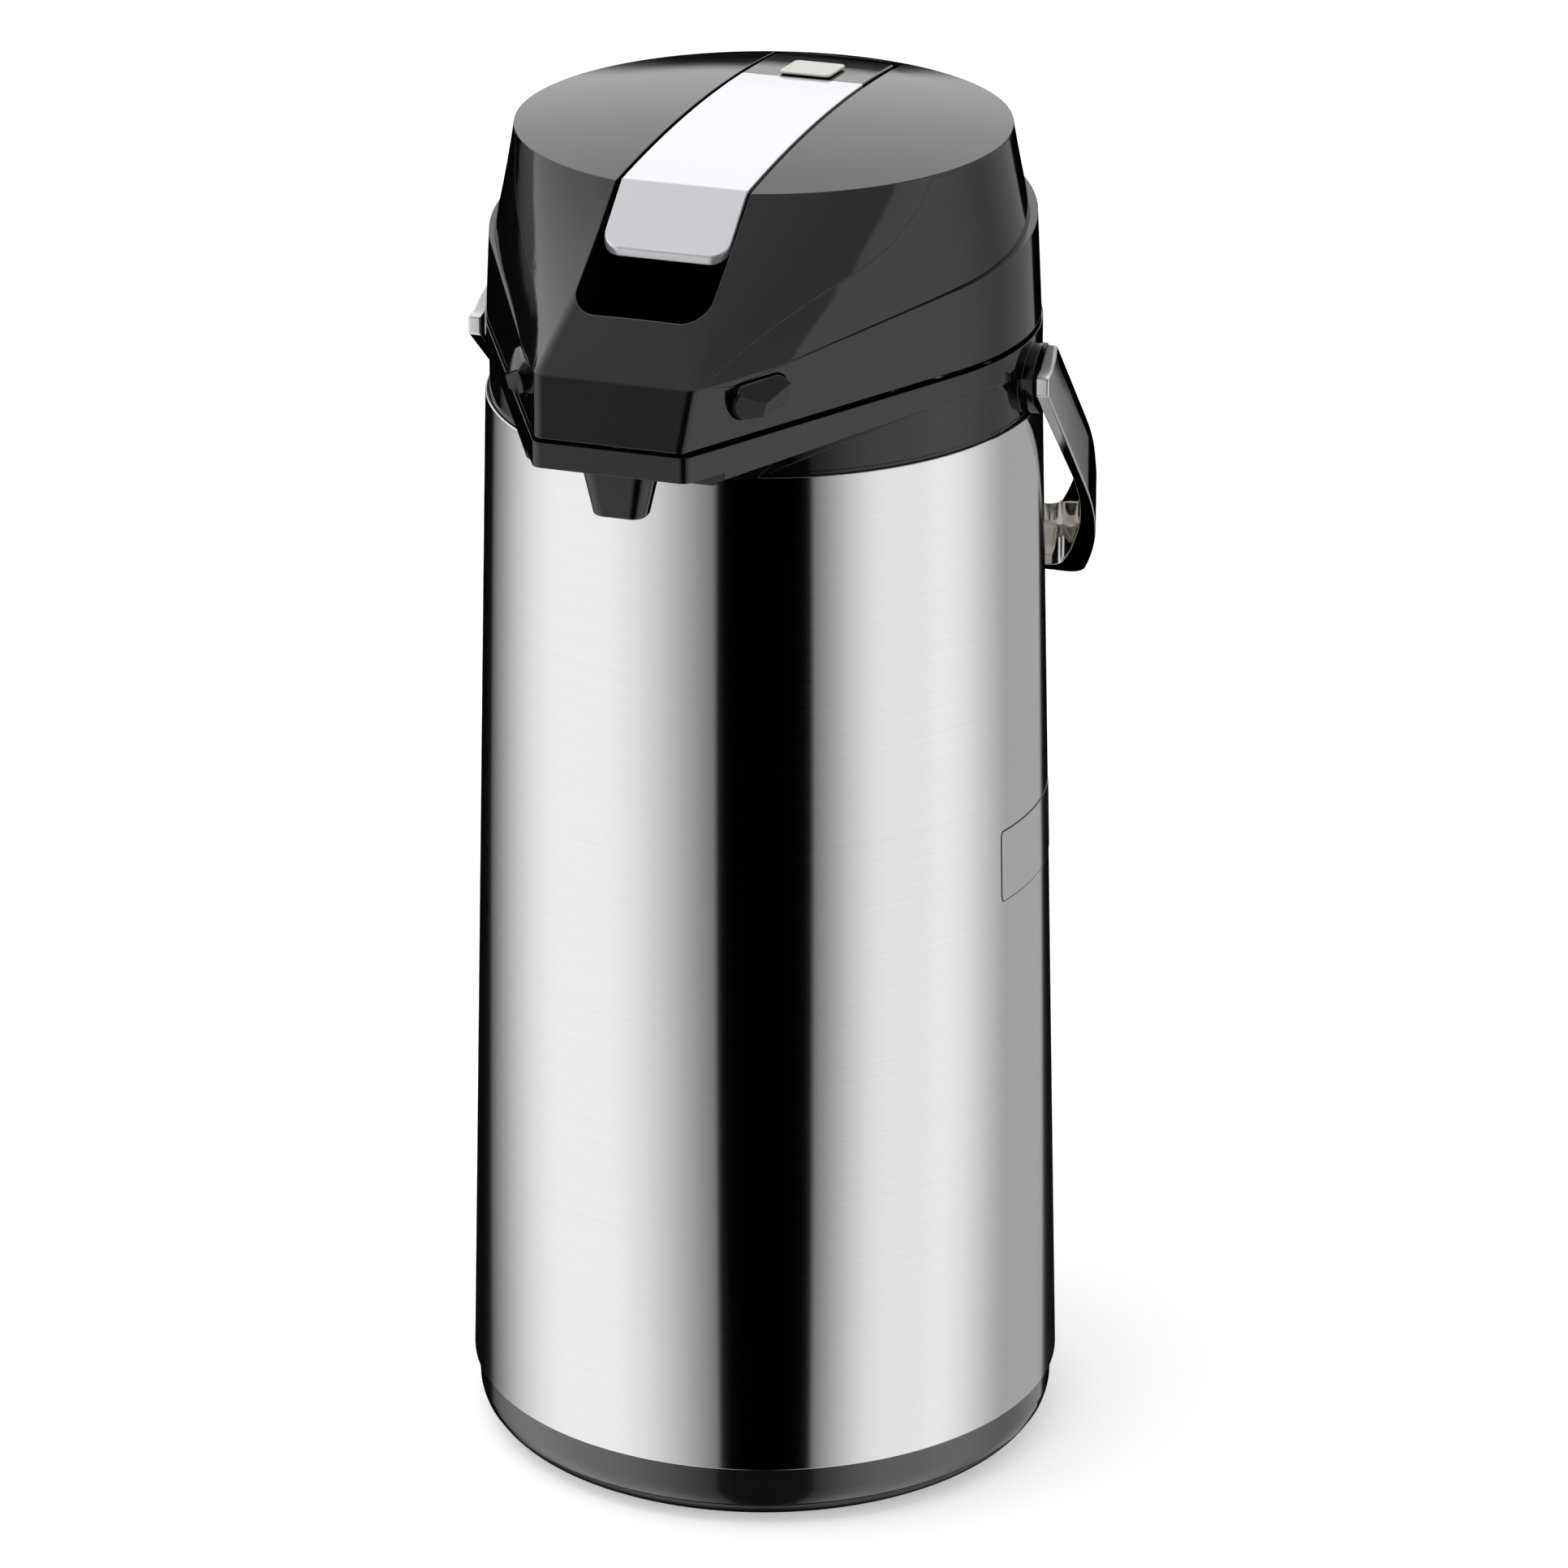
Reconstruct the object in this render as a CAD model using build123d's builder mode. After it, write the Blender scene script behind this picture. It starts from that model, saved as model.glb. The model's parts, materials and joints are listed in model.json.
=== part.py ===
"""Pump dispenser vacuum flask (airpot): pot, flip lid, press lever, lock, buttons, bail and swivel foot.

Millimetres, +Z up. The origin is the centre of the foot where it meets the table, and the spout faces -Y.
"""
from math import asin, atan2, cos, pi, radians, sin, sqrt, tan
import os

from build123d import *

# ---------------------------------------------------------------- driving dimensions
# jacket, the brushed steel sleeve
jacket_bottom_z = 17.6
jacket_height = 275.9
jacket_bottom_r = 79.8
jacket_taper = 7.25
jacket_wall = 0.8

# base ring and swivel foot
base_step = 1.4
base_curve_r = 9.6
base_curve_z = 10.1
base_wall = 2.4
base_floor_z = 8.4
base_seam = 0.2
base_spigot = 12.0
base_spigot_lead = 2.0
base_spigot_gap = 0.1
foot_split_z = 6.3
foot_gap = 0.4
foot_floor = 2.5
foot_inset = 0.2
foot_lift = 0.1
foot_rim = 2.0
foot_pad_margin = 14.4
foot_pad_gap = 0.2
foot_pad_recess = 0.1
swivel_r = 8.0
swivel_proud = 0.6
slip_ring_r = 52.0
slip_ring_width = 6.0
washer_margin = 5.0
washer_thick = 1.2
swivel_screw_length = 6.0

# vacuum flask
flask_gap = 5.55
flask_wall = 0.9
flask_corner = 14.0
vacuum_gap = 5.0
shoulder_gap = 4.0
neck_gap = 2.3
neck_height = 8.0
flask_lift = 6.4
shoulder_drop = 31.5
flask_drop = 2.5
mouth_r = 31.0
cushion_margin = 16.0
cushion_width = 16.0

# collar and beak
collar_step = 0.15
collar_height = 20.3
collar_wall = 2.4
collar_deck_thick = 2.5
collar_spigot = 10.0
collar_spigot_wall = 2.0
collar_spigot_gap = 0.15
neck_ring_drop = 7.8
neck_ring_wall = 4.0
neck_ring_relief = 1.0
gasket_thick = 1.5
beak_overhang = 43.6
flank_deg = 61.8
beak_round = 3.0
wedge_front = 39.2
wedge_back = 85.9
wedge_lift = 12.9
wedge_rise = 1.7
wedge_drop = 9.5
wedge_wall_deg = 24.0
lip_lift = 13.7
skirt_lift = 10.0
skirt_wall = 1.8
skirt_front = 11.2
skirt_back = 28.6
latch_well_half = 60.0

# lid: band below, side wall and top above
seam_gap = 1.4
band_step = 0.4
band_taper = 1.7
band_overhang = 0.7
band_lean = 10.5
band_height = 34.8
lid_wall = 2.2
visor_edge_lift = 14.7
visor_step = 4.5
cover_step = 0.7
cover_height = 35.2
front_wall_share = 1.15
cone_taper = 7.15
dome_rise = 3.6
rim_drop = 0.6
cap_depth = 6.0
notch_depth = 3.0
rim_front_deg = 3.0
rim_fan_deg = 2.0
step_drop = 1.6
step_front = 15.1
step_bend = 9.7
step_slope = 0.111
parting_front = 0.8
parting_front_drop = 0.5
parting_bend = (7.15, 18.2)
parting_mid = (16.35, 14.2)
parting_high = (25.45, 7.9)
parting_rim = 32.45

# lever, its channel and its pivot
lever_half_width = 16.7
lever_side_gap = 1.1
lever_thick = 1.6
lever_tip = 12.35
lever_tip_drop = 12.4
lever_crease = 3.65
lever_corner_r = 5.0
slot_front = 15.8
slot_corner_r = 7.0
slot_end_gap = 1.0
slot_rim_gap = 0.131
channel_drop = 15.6
well_floor_drop = 4.9
well_gap = 3.5
well_back_drop = 20.1
well_wall = 1.5
wall_bite = 0.3
ear_thick = 4.0
ear_length = 10.0
pivot_back = 8.5
pivot_drop = 11.6
lever_pin_r = 2.0
frame_inset = 1.2
frame_plate = 2.4
frame_depth = 4.4
frame_wall = 2.0
frame_back = 4.0
pivot_boss_r = 4.5
nose_r = 4.0
nose_half_width = 3.0
nose_drop = 0.5

# pump under the lever
plate_thick = 2.0
plate_lift = 1.3
plug_r = 33.0
plug_wall = 4.0
seal_thick = 2.0
seal_width = 6.0
seal_gap = 0.2
air_hole_r = 4.0
bellows_r = 36.0
bellows_wall = 1.2
bellows_folds = 4
bellows_drop = 8.5
fold_in = 5.0
pusher_thick = 3.0
pusher_gap = 0.3
pusher_nose_margin = 3.0
spring_r = 15.0
spring_wire_r = 0.8
spring_turns = 5
post_r = 3.4
post_height = 8.0
post_bite = 0.4
post_front_x = 10.0
post_front = 7.5
post_degs = (75.0, 130.0)

# lock slide on the lever
lock_back = 13.0
lock_size = 14.0
lock_corner_r = 1.5
lock_proud = 0.9
lock_stem = 7.0
lock_travel = 4.0
lock_gap = 0.25
lock_side_gap = 0.1
lock_foot = 11.0
lock_foot_thick = 1.5

# release buttons on the flanks of the band
button_front = 22.3
button_lift = 8.9
button_length = 20.4
button_height = 9.3
button_proud = 1.8
button_gap = 0.4
button_flange = 1.5
button_flange_gap = 0.6
button_flange_length = 2.0
button_flange_height = 1.0
button_travel = 2.5
latch_width = 5.0
latch_thick = 3.0
latch_shift = 4.0
latch_slot_gap = 0.4
latch_foot_drop = 16.6
latch_top_drop = 1.1

# hinge at the back
hinge_back = 4.9
hinge_r = 4.6
hinge_pin_r = 1.6
hinge_half_width = 22.0
hinge_ear_bite = 5.0
hinge_ear_drop = 9.0
knuckle_half_width = 12.0
knuckle_gap = 0.3

# bail handle, drawn as it hangs; its head and its grip are outlined in side view, from the pivot and the bow
bail_pivot_y = 2.0
bail_pivot_drop = 10.9
bail_hang_deg = 48.0
bail_side = 6.6
bail_behind = 10.97
bail_thick = 3.4
bail_bow = 4.0
bail_width = 20.3
bail_toe_deg = 2.3
bail_straight = 48.0
bail_bend_r = 168.0
bail_inner_toe_deg = 1.4
bail_inner_straight = 38.0
bail_inner_bend_r = 150.0
bail_corner_r = 7.0
bail_taper = 5.15
bail_head = ((-9.7, 3.3), (-5.5, 4.3), (1.8, 9.4))
bail_pot_gap = 2.75
grip_half_length = 57.0
grip_line = ((0.0, 4.7), (3.1, -0.6), (1.3, -5.3), (0.0, -7.4))
grip_chamfer = 0.6
boss_r = 9.2
bail_pin_r = 3.0
bail_pin_recess = 1.0
pin_gap = 0.05
bail_side_gap = 0.3

# drink path
tube_inset = 8.0
tube_r = 4.0
tube_wall = 1.0
tube_lift = 4.1
tube_seat = 6.0
tube_stop = 2.0
elbow_wall = 1.5
elbow_arm_wall = 1.4
elbow_reach = 3.0
pipe_r = 3.0
pipe_wall = 0.8
pipe_lift = 8.4
pipe_drop = 2.8
pipe_side_gap = 0.15
pipe_seat_gap = 0.02
pipe_bend_r = 8.0
pipe_bend_room = 2.0
pipe_rise = 11.0
pipe_crest = 26.0
nozzle_front = 8.4
nozzle_height = 12.5
nozzle_top_half = (9.7, 5.8)
nozzle_bottom_half = (6.8, 4.5)
nozzle_corner_share = 0.8
nozzle_bore_half = (4.6, 3.0)
nozzle_neck = 4.0
nozzle_edge_r = 0.6

# screws
screw_r = 1.5
screw_gap = 0.2
screw_head_r = 2.8
screw_head = 2.0

# how far cutting shapes run past what they cut: a little, and well past
cut_near = 1.0
cut_far = 20.0

# ---------------------------------------------------------------- derived places, from the foot to the dome
base_r = jacket_bottom_r - base_step
foot_pad_r = base_r - foot_pad_margin
jacket_top_z = jacket_bottom_z + jacket_height
jacket_top_r = jacket_bottom_r - jacket_taper
flask_r = jacket_top_r - flask_gap
flask_bottom_z = jacket_bottom_z + flask_lift
flask_bottom_inner_z = flask_bottom_z + flask_wall + vacuum_gap
flask_shoulder_z = jacket_top_z - shoulder_drop
flask_top_z = jacket_top_z - flask_drop

deck_z = jacket_top_z
collar_r = jacket_top_r - collar_step
collar_top_z = deck_z + collar_height
neck_ring_top_z = collar_top_z - neck_ring_drop
neck_ring_r = mouth_r + neck_ring_wall
beak_reach = collar_r + beak_overhang
flank_turn = radians(flank_deg)
wedge_front_y = wedge_front - beak_reach
wedge_back_y = wedge_back - beak_reach
wedge_low_z = deck_z + wedge_lift
lip_z = deck_z + lip_lift
skirt_z = deck_z + skirt_lift
skirt_front_y = skirt_front - beak_reach
skirt_back_y = skirt_back - beak_reach

lid_bottom_z = collar_top_z + seam_gap
band_bottom_r = collar_r - band_step
band_top_r = band_bottom_r - band_taper
band_top_z = lid_bottom_z + band_height
band_reach_bottom = beak_reach + band_overhang
band_reach_top = band_reach_bottom - band_lean
visor_edge_z = lid_bottom_z + visor_edge_lift
visor_reach = band_reach_bottom - visor_step
cover_bottom_r = band_bottom_r - cover_step
rim_r = cover_bottom_r - cone_taper
rim_z = visor_edge_z + cover_height
dome_top_z = rim_z + dome_rise
dome_r = (rim_r**2 + dome_rise**2) / (2 * dome_rise)
step_front_z = visor_edge_z - step_drop
step_front_y = step_front - band_reach_bottom

lever_tip_y = -(rim_r + lever_tip)
lever_tip_z = rim_z - lever_tip_drop
slot_half = lever_half_width + lever_side_gap
slot_rear_y = sqrt(rim_r**2 - slot_half**2) - slot_rim_gap
lever_rear_y = slot_rear_y - slot_end_gap
lever_crease_y = lever_crease - rim_r
slot_front_y = slot_front - visor_reach
channel_low_z = rim_z - channel_drop
well_floor_z = visor_edge_z - well_floor_drop
well_back_y = -(bellows_r + well_gap)
well_back_z = rim_z - well_back_drop
pivot_y = lever_rear_y - pivot_back
pivot_z = rim_z - pivot_drop
frame_rear_y = lever_rear_y - frame_back
bellows_top_z = pivot_z - bellows_drop
lock_y = pivot_y - lock_back

button_y = button_front - beak_reach
button_z = lid_bottom_z + button_lift
latch_foot_z = button_z - latch_foot_drop
latch_top_z = button_z - latch_top_drop

hinge_y = collar_r + hinge_back
hinge_z = collar_top_z + seam_gap / 2

hang = radians(bail_hang_deg)
bail_pivot_z = collar_top_z - bail_pivot_drop
bail_outer_x = collar_r + bail_side
bail_inner_x = bail_outer_x - bail_thick
bail_reach = (collar_r + bail_behind - bail_pivot_y) / sin(hang)
bail_clear_r = jacket_top_r + bail_pot_gap

tube_y = tube_inset - mouth_r
tube_bottom_z = flask_bottom_inner_z + tube_lift
pipe_low_z = flask_top_z + pipe_lift
pipe_high_z = collar_top_z - pipe_drop
pipe_rise_y = -(neck_ring_r + pipe_rise)
pipe_crest_y = pipe_crest - beak_reach
nozzle_y = nozzle_front - beak_reach
nozzle_bottom_z = lip_z - nozzle_height

front_limit_y = -(beak_reach + cut_far)
back_limit_y = hinge_y + cut_far
side_limit_x = bail_outer_x + cut_far
low_limit_z = deck_z - cut_far
top_limit_z = dome_top_z + cut_far


def save(piece, name):
    """Label one finished piece and write its STEP file."""
    piece.part.label = name
    export_step(piece.part, f"parts/{name}.step")


def jacket_r(z):
    """Outer radius of the steel cone at height z."""
    share = (z - jacket_bottom_z) / (jacket_top_z - jacket_bottom_z)
    return jacket_bottom_r + share * (jacket_top_r - jacket_bottom_r)


def on_circle(radius, azimuth):
    """Point of a circle round the Z axis at an azimuth counted from -Y towards +X."""
    return (radius * sin(azimuth), -radius * cos(azimuth))


def flank_x(radius, y):
    """Distance from the YZ plane of the flat flank that touches a circle of this radius, at depth y."""
    return (radius + y * cos(flank_turn)) / sin(flank_turn)


def beak_outline(radius, reach, corner):
    """Plan outline of six edges: front, round corner, flat flank, back arc, and the same again."""
    mid_y = -(reach - corner)
    mid_x = flank_x(radius - corner, mid_y)
    start = (mid_x, -reach)
    half = (mid_x + corner * sin(flank_turn / 2), mid_y - corner * cos(flank_turn / 2))
    end = (mid_x + corner * sin(flank_turn), mid_y - corner * cos(flank_turn))
    touch = on_circle(radius, flank_turn)
    with BuildLine() as outline:
        Line((-start[0], start[1]), start)
        ThreePointArc(start, half, end)
        Line(end, touch)
        ThreePointArc(touch, (0, radius), (-touch[0], touch[1]))
        Line((-touch[0], touch[1]), (-end[0], end[1]))
        ThreePointArc((-end[0], end[1]), (-half[0], half[1]), (-start[0], start[1]))
    return outline.line


def rim_outline(radius):
    """Circle cut into the six arcs that face the six edges of a beak outline."""
    front = radians(rim_front_deg)
    fan = flank_turn - radians(rim_fan_deg)
    stops = [-front, front, fan, flank_turn, 2 * pi - flank_turn, 2 * pi - fan, 2 * pi - front]
    with BuildLine() as outline:
        for first, last in zip(stops, stops[1:]):
            middle = (first + last) / 2
            ThreePointArc(on_circle(radius, first), on_circle(radius, middle), on_circle(radius, last))
    return outline.line


def beak_prism(low, high):
    """Solid lofted straight from one beak outline to another; each is (z, radius, reach)."""
    with BuildPart() as prism:
        for z, radius, reach in (low, high):
            with BuildSketch(Plane.XY.offset(z)):
                add(beak_outline(radius, reach, beak_round))
                make_face()
        loft(ruled=True)
    return prism.part


def cover_solid(inset):
    """Solid under the visor, the cone and the dome, with its skin moved inwards by inset."""
    reach = visor_reach - front_wall_share * inset
    radius = cover_bottom_r - inset
    top_r = rim_r - inset
    with BuildPart() as cover:
        with BuildSketch(Plane.XY.offset(visor_edge_z)):
            add(beak_outline(radius, reach, beak_round))
            make_face()
        with BuildSketch(Plane.XY.offset(rim_z - inset)):
            add(rim_outline(top_r))
            make_face()
        loft(ruled=True)
        with BuildSketch(Plane.XY.offset(visor_edge_z)):
            add(beak_outline(radius, reach, beak_round))
            make_face()
        extrude(amount=-(visor_edge_z - lid_bottom_z))
        with BuildSketch(Plane.XZ):
            with BuildLine():
                Line((0, rim_z - inset), (0, dome_top_z - inset))
                ThreePointArc((0, dome_top_z - inset), dome_point(top_r / 2, inset), (top_r, rim_z - inset))
                Line((top_r, rim_z - inset), (0, rim_z - inset))
            make_face()
        revolve(axis=Axis.Z)
    return cover.part


def dome_z(distance):
    """Height of the dome's outer skin at a distance from the Z axis."""
    return dome_top_z - dome_r + sqrt(dome_r**2 - distance**2)


def dome_point(distance, inset):
    """Point (radius, z) on the dome's skin moved down by inset."""
    return (distance, dome_z(distance) - inset)


def side_region(points):
    """Solid as wide as the lid whose outline in the YZ plane is the given closed list of points."""
    with BuildPart() as region:
        with BuildSketch(Plane.YZ):
            with BuildLine():
                Polyline(*points, close=True)
            make_face()
        extrude(amount=side_limit_x, both=True)
    return region.part


def step_z(y):
    """Height of the step between band and upper cover at a depth y."""
    return step_front_z + step_slope * (y - step_front_y)


def step_line():
    """Side view of the step, from the front face to behind the hinge."""
    return [
        (front_limit_y, visor_edge_z), (step_bend - band_reach_bottom, visor_edge_z),
        (step_front_y, step_front_z), (back_limit_y, step_z(back_limit_y)),
    ]


def parting_line():
    """Side view of the parting line between the lid's side wall and its top."""
    front_z = visor_edge_z - parting_front_drop
    slope = [(inside - rim_r, rim_z - drop) for inside, drop in (parting_bend, parting_mid, parting_high)]
    rim = (parting_rim - rim_r, rim_z - rim_drop)
    return [
        (front_limit_y, front_z - parting_front_drop), (parting_front - visor_reach, front_z), *slope, rim,
        (back_limit_y, rim_z - rim_drop),
    ]


def below(line):
    """Everything in the lid under a side-view line."""
    return side_region(line + [(back_limit_y, low_limit_z), (front_limit_y, low_limit_z)])


def above(line):
    """Everything in the lid over a side-view line."""
    return side_region(line + [(back_limit_y, top_limit_z), (front_limit_y, top_limit_z)])


os.makedirs("parts", exist_ok=True)

# ---------------------------------------------------------------- foot that turns
foot_low_z = base_curve_z - base_curve_r + foot_lift
foot_top_z = foot_split_z - foot_gap
foot_floor_z = foot_low_z + foot_floor
hub_top_z = base_floor_z + foot_floor + swivel_proud
curve_x = base_r - base_curve_r


def curve_point(z, inset, lift):
    """Point on the rounded lower edge of base and foot at height z, moved inwards and up."""
    return (curve_x + sqrt(base_curve_r**2 - (base_curve_z - z) ** 2) - inset, z + lift)


with BuildPart() as foot:
    with BuildSketch(Plane.XZ):
        with BuildLine():
            edge_x = curve_point(foot_top_z, foot_inset, 0)[0]
            inner_x = edge_x - base_wall
            middle_z = base_curve_z - 0.85 * base_curve_r
            Line((0, foot_low_z), (curve_x, foot_low_z))
            ThreePointArc((curve_x, foot_low_z), curve_point(middle_z, 0, foot_lift), (edge_x, foot_top_z))
            Polyline(
                (edge_x, foot_top_z), (inner_x, foot_top_z), (inner_x - foot_rim, foot_floor_z),
                (swivel_r, foot_floor_z), (swivel_r, hub_top_z), (0, hub_top_z), (0, foot_low_z),
            )
        make_face()
    revolve(axis=Axis.Z)
    with BuildSketch(Plane.XY.offset(foot_low_z + foot_pad_recess)):
        Circle(foot_pad_r + foot_pad_gap)
    extrude(amount=-foot_floor, mode=Mode.SUBTRACT)
    with Locations((0, 0, hub_top_z)):
        Hole(radius=screw_r, depth=swivel_screw_length)
save(foot, "foot")

with BuildPart() as foot_pad:
    with BuildSketch():
        Circle(foot_pad_r)
    extrude(amount=foot_low_z + foot_pad_recess)
save(foot_pad, "foot_pad")

with BuildPart() as slip_ring:
    with BuildSketch(Plane.XY.offset(foot_floor_z)):
        Circle(slip_ring_r)
        Circle(slip_ring_r - slip_ring_width, mode=Mode.SUBTRACT)
    extrude(amount=base_floor_z - foot_floor_z)
save(slip_ring, "slip_ring")

# ---------------------------------------------------------------- base ring
base_inside_z = base_floor_z + foot_floor
base_top_z = jacket_bottom_z - base_seam
spigot_top_z = jacket_bottom_z + base_spigot
spigot_r = jacket_r(spigot_top_z + base_spigot_lead) - jacket_wall - base_spigot_gap
with BuildPart() as base_ring:
    with BuildSketch(Plane.XZ):
        with BuildLine():
            split_x = curve_point(foot_split_z, 0, 0)[0]
            middle_z = base_curve_z - sin(radians(10)) * base_curve_r
            Polyline(
                (swivel_r + pin_gap, base_floor_z), (split_x - 2 * base_wall, base_floor_z),
                (split_x - 1.5 * base_wall, foot_split_z), (split_x, foot_split_z),
            )
            ThreePointArc((split_x, foot_split_z), curve_point(middle_z, 0, 0), (base_r, base_curve_z))
            Polyline(
                (base_r, base_curve_z), (base_r, base_top_z), (spigot_r, base_top_z),
                (spigot_r, spigot_top_z), (spigot_r - base_wall, spigot_top_z),
                (spigot_r - base_wall, base_inside_z),
                (swivel_r + pin_gap, base_inside_z), (swivel_r + pin_gap, base_floor_z),
            )
        make_face()
    revolve(axis=Axis.Z)
save(base_ring, "base_ring")

with BuildPart() as swivel_washer:
    with BuildSketch(Plane.XY.offset(hub_top_z)):
        Circle(swivel_r + washer_margin)
        Circle(screw_r + screw_gap, mode=Mode.SUBTRACT)
    extrude(amount=washer_thick)
save(swivel_washer, "swivel_washer")

with BuildPart() as swivel_screw:
    with BuildSketch(Plane.XY.offset(hub_top_z + washer_thick)):
        Circle(screw_head_r)
    extrude(amount=screw_head)
    with BuildSketch(Plane.XY.offset(hub_top_z + washer_thick)):
        Circle(screw_r - pin_gap)
    extrude(amount=-swivel_screw_length)
save(swivel_screw, "swivel_screw")

# ---------------------------------------------------------------- steel jacket
with BuildPart() as jacket:
    with BuildSketch(Plane.XZ):
        Polygon(
            (jacket_bottom_r, jacket_bottom_z), (jacket_top_r, jacket_top_z),
            (jacket_top_r - jacket_wall, jacket_top_z), (jacket_bottom_r - jacket_wall, jacket_bottom_z),
            align=None,
        )
    revolve(axis=Axis.Z)
save(jacket, "jacket")


# ---------------------------------------------------------------- vacuum flask
def flask_wall_shape(radius, bottom_z, neck_r, lip_r, lower):
    """One wall of the flask: bottom, straight side, shoulder set lower, neck and, if asked, a lip."""
    corner = flask_corner
    neck_z = flask_top_z - neck_height - lower
    shoulder_z = flask_shoulder_z - lower
    with BuildPart() as wall:
        with BuildSketch(Plane.XZ):
            with BuildLine():
                Line((0, bottom_z), (radius - corner, bottom_z))
                RadiusArc((radius - corner, bottom_z), (radius, bottom_z + corner), -corner)
                Line((radius, bottom_z + corner), (radius, shoulder_z))
                Spline((radius, shoulder_z), (neck_r, neck_z), tangents=((0, 1), (0, 1)))
                Polyline((neck_r, neck_z), (neck_r, flask_top_z), (0, flask_top_z), (0, bottom_z))
            make_face()
        revolve(axis=Axis.Z)
        mouth = wall.faces().sort_by(Axis.Z)[-1]
        offset(amount=-flask_wall, openings=mouth, kind=Kind.INTERSECTION)
        if lip_r < neck_r - flask_wall:
            with BuildSketch(Plane.XY.offset(flask_top_z)):
                Circle(neck_r)
                Circle(lip_r, mode=Mode.SUBTRACT)
            extrude(amount=-flask_wall)
    return wall


inner_neck_r = mouth_r + flask_wall
outer_neck_r = inner_neck_r + neck_gap + flask_wall
flask_inner_r = flask_r - flask_wall - vacuum_gap
flask_inner = flask_wall_shape(flask_inner_r, flask_bottom_inner_z, inner_neck_r, mouth_r, shoulder_gap)
save(flask_inner, "flask_inner")

flask_outer = flask_wall_shape(flask_r, flask_bottom_z, outer_neck_r, inner_neck_r, 0)
save(flask_outer, "flask_outer")

with BuildPart() as flask_cushion:
    with BuildSketch(Plane.XY.offset(base_inside_z)):
        Circle(flask_r - cushion_margin)
        Circle(flask_r - cushion_margin - cushion_width, mode=Mode.SUBTRACT)
    extrude(amount=flask_bottom_z - base_inside_z)
save(flask_cushion, "flask_cushion")

with BuildPart() as neck_gasket:
    with BuildSketch(Plane.XY.offset(flask_top_z)):
        Circle(outer_neck_r)
        Circle(mouth_r, mode=Mode.SUBTRACT)
    extrude(amount=gasket_thick)
save(neck_gasket, "neck_gasket")


# ---------------------------------------------------------------- collar with the beak tray
def underside_wedge(side):
    """Wedge under one half of the beak: its top face slopes from the flank edge down to the collar wall."""
    flank_front = Vector(side * flank_x(collar_r, wedge_front_y), wedge_front_y, wedge_low_z)
    flank_back = Vector(side * flank_x(collar_r, wedge_back_y), wedge_back_y, wedge_low_z + wedge_rise)
    wall_x, wall_y = on_circle(collar_r, radians(wedge_wall_deg))
    wall_front = Vector(side * wall_x, wall_y, wedge_low_z - wedge_drop)
    normal = (flank_back - flank_front).cross(wall_front - flank_front).normalized()
    if normal.Z > 0:
        normal = normal * -1
    with BuildPart() as wedge:
        with BuildSketch(Plane(origin=flank_front, z_dir=normal)):
            Circle(2 * collar_r)
        extrude(amount=collar_r)
        with BuildSketch(Plane.XY):
            with Locations((side * side_limit_x / 2, 0)):
                Rectangle(side_limit_x, back_limit_y - front_limit_y)
        extrude(amount=top_limit_z, mode=Mode.INTERSECT)
    return wedge.part


def ring(outer, inner, low, high):
    """Plain ring round the Z axis."""
    with BuildPart() as band:
        with BuildSketch(Plane.XY.offset(low)):
            Circle(outer)
            if inner > 0:
                Circle(inner, mode=Mode.SUBTRACT)
        extrude(amount=high - low)
    return band.part


def block(low, high):
    """Plain box between two corner points."""
    with BuildPart() as box:
        with BuildSketch(Plane.XY.offset(low[2])):
            with Locations(((low[0] + high[0]) / 2, (low[1] + high[1]) / 2)):
                Rectangle(high[0] - low[0], high[1] - low[1])
        extrude(amount=high[2] - low[2])
    return box.part


def cross_rod(radius, y, z, half_length):
    """Rod along X through (y, z)."""
    with BuildPart() as rod:
        with BuildSketch(Plane.YZ):
            with Locations((y, z)):
                Circle(radius)
        extrude(amount=half_length, both=True)
    return rod.part


def pipe_path():
    """Centre line of the spout pipe: level from the riser, up the beak, and down into the nozzle."""
    corners = [
        (0, tube_y - tube_r, pipe_low_z), (0, pipe_rise_y, pipe_low_z), (0, pipe_crest_y, pipe_high_z),
        (0, nozzle_y, pipe_high_z), (0, nozzle_y, lip_z - nozzle_neck),
    ]
    with BuildLine() as path:
        FilletPolyline(*corners, radius=(pipe_bend_r, pipe_bend_r, pipe_high_z - lip_z))
    return path.line


def pipe_trough():
    """Open trough along the beak that the pipe is laid into, and its two round ways through."""
    under = pipe_r + pipe_side_gap
    bend = pipe_bend_room
    low_z = pipe_low_z - under
    high_z = pipe_high_z - under
    open_z = collar_top_z + cut_near
    ring_y = cut_near - neck_ring_r
    side_view = [
        (ring_y, low_z), (pipe_rise_y, low_z), (pipe_crest_y, high_z), (nozzle_y + under + bend, high_z),
        (nozzle_y + under, high_z - bend), (nozzle_y - under, high_z - bend), (nozzle_y - under, open_z),
        (-neck_ring_r - cut_near, open_z), (-neck_ring_r - cut_near, pipe_low_z + under),
        (ring_y, pipe_low_z + under),
    ]
    with BuildPart() as trough:
        with BuildSketch(Plane.YZ):
            Polygon(*side_view, align=None)
        extrude(amount=under, both=True)
        with BuildSketch(Plane.XZ.offset(-tube_y)):
            with Locations((0, pipe_low_z)):
                Circle(under)
        extrude(amount=tube_y - pipe_rise_y)
        with BuildSketch(Plane.XY.offset(nozzle_bottom_z)):
            with Locations((0, nozzle_y)):
                Circle(under)
        extrude(amount=pipe_high_z - nozzle_bottom_z)
    return trough.part


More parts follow.
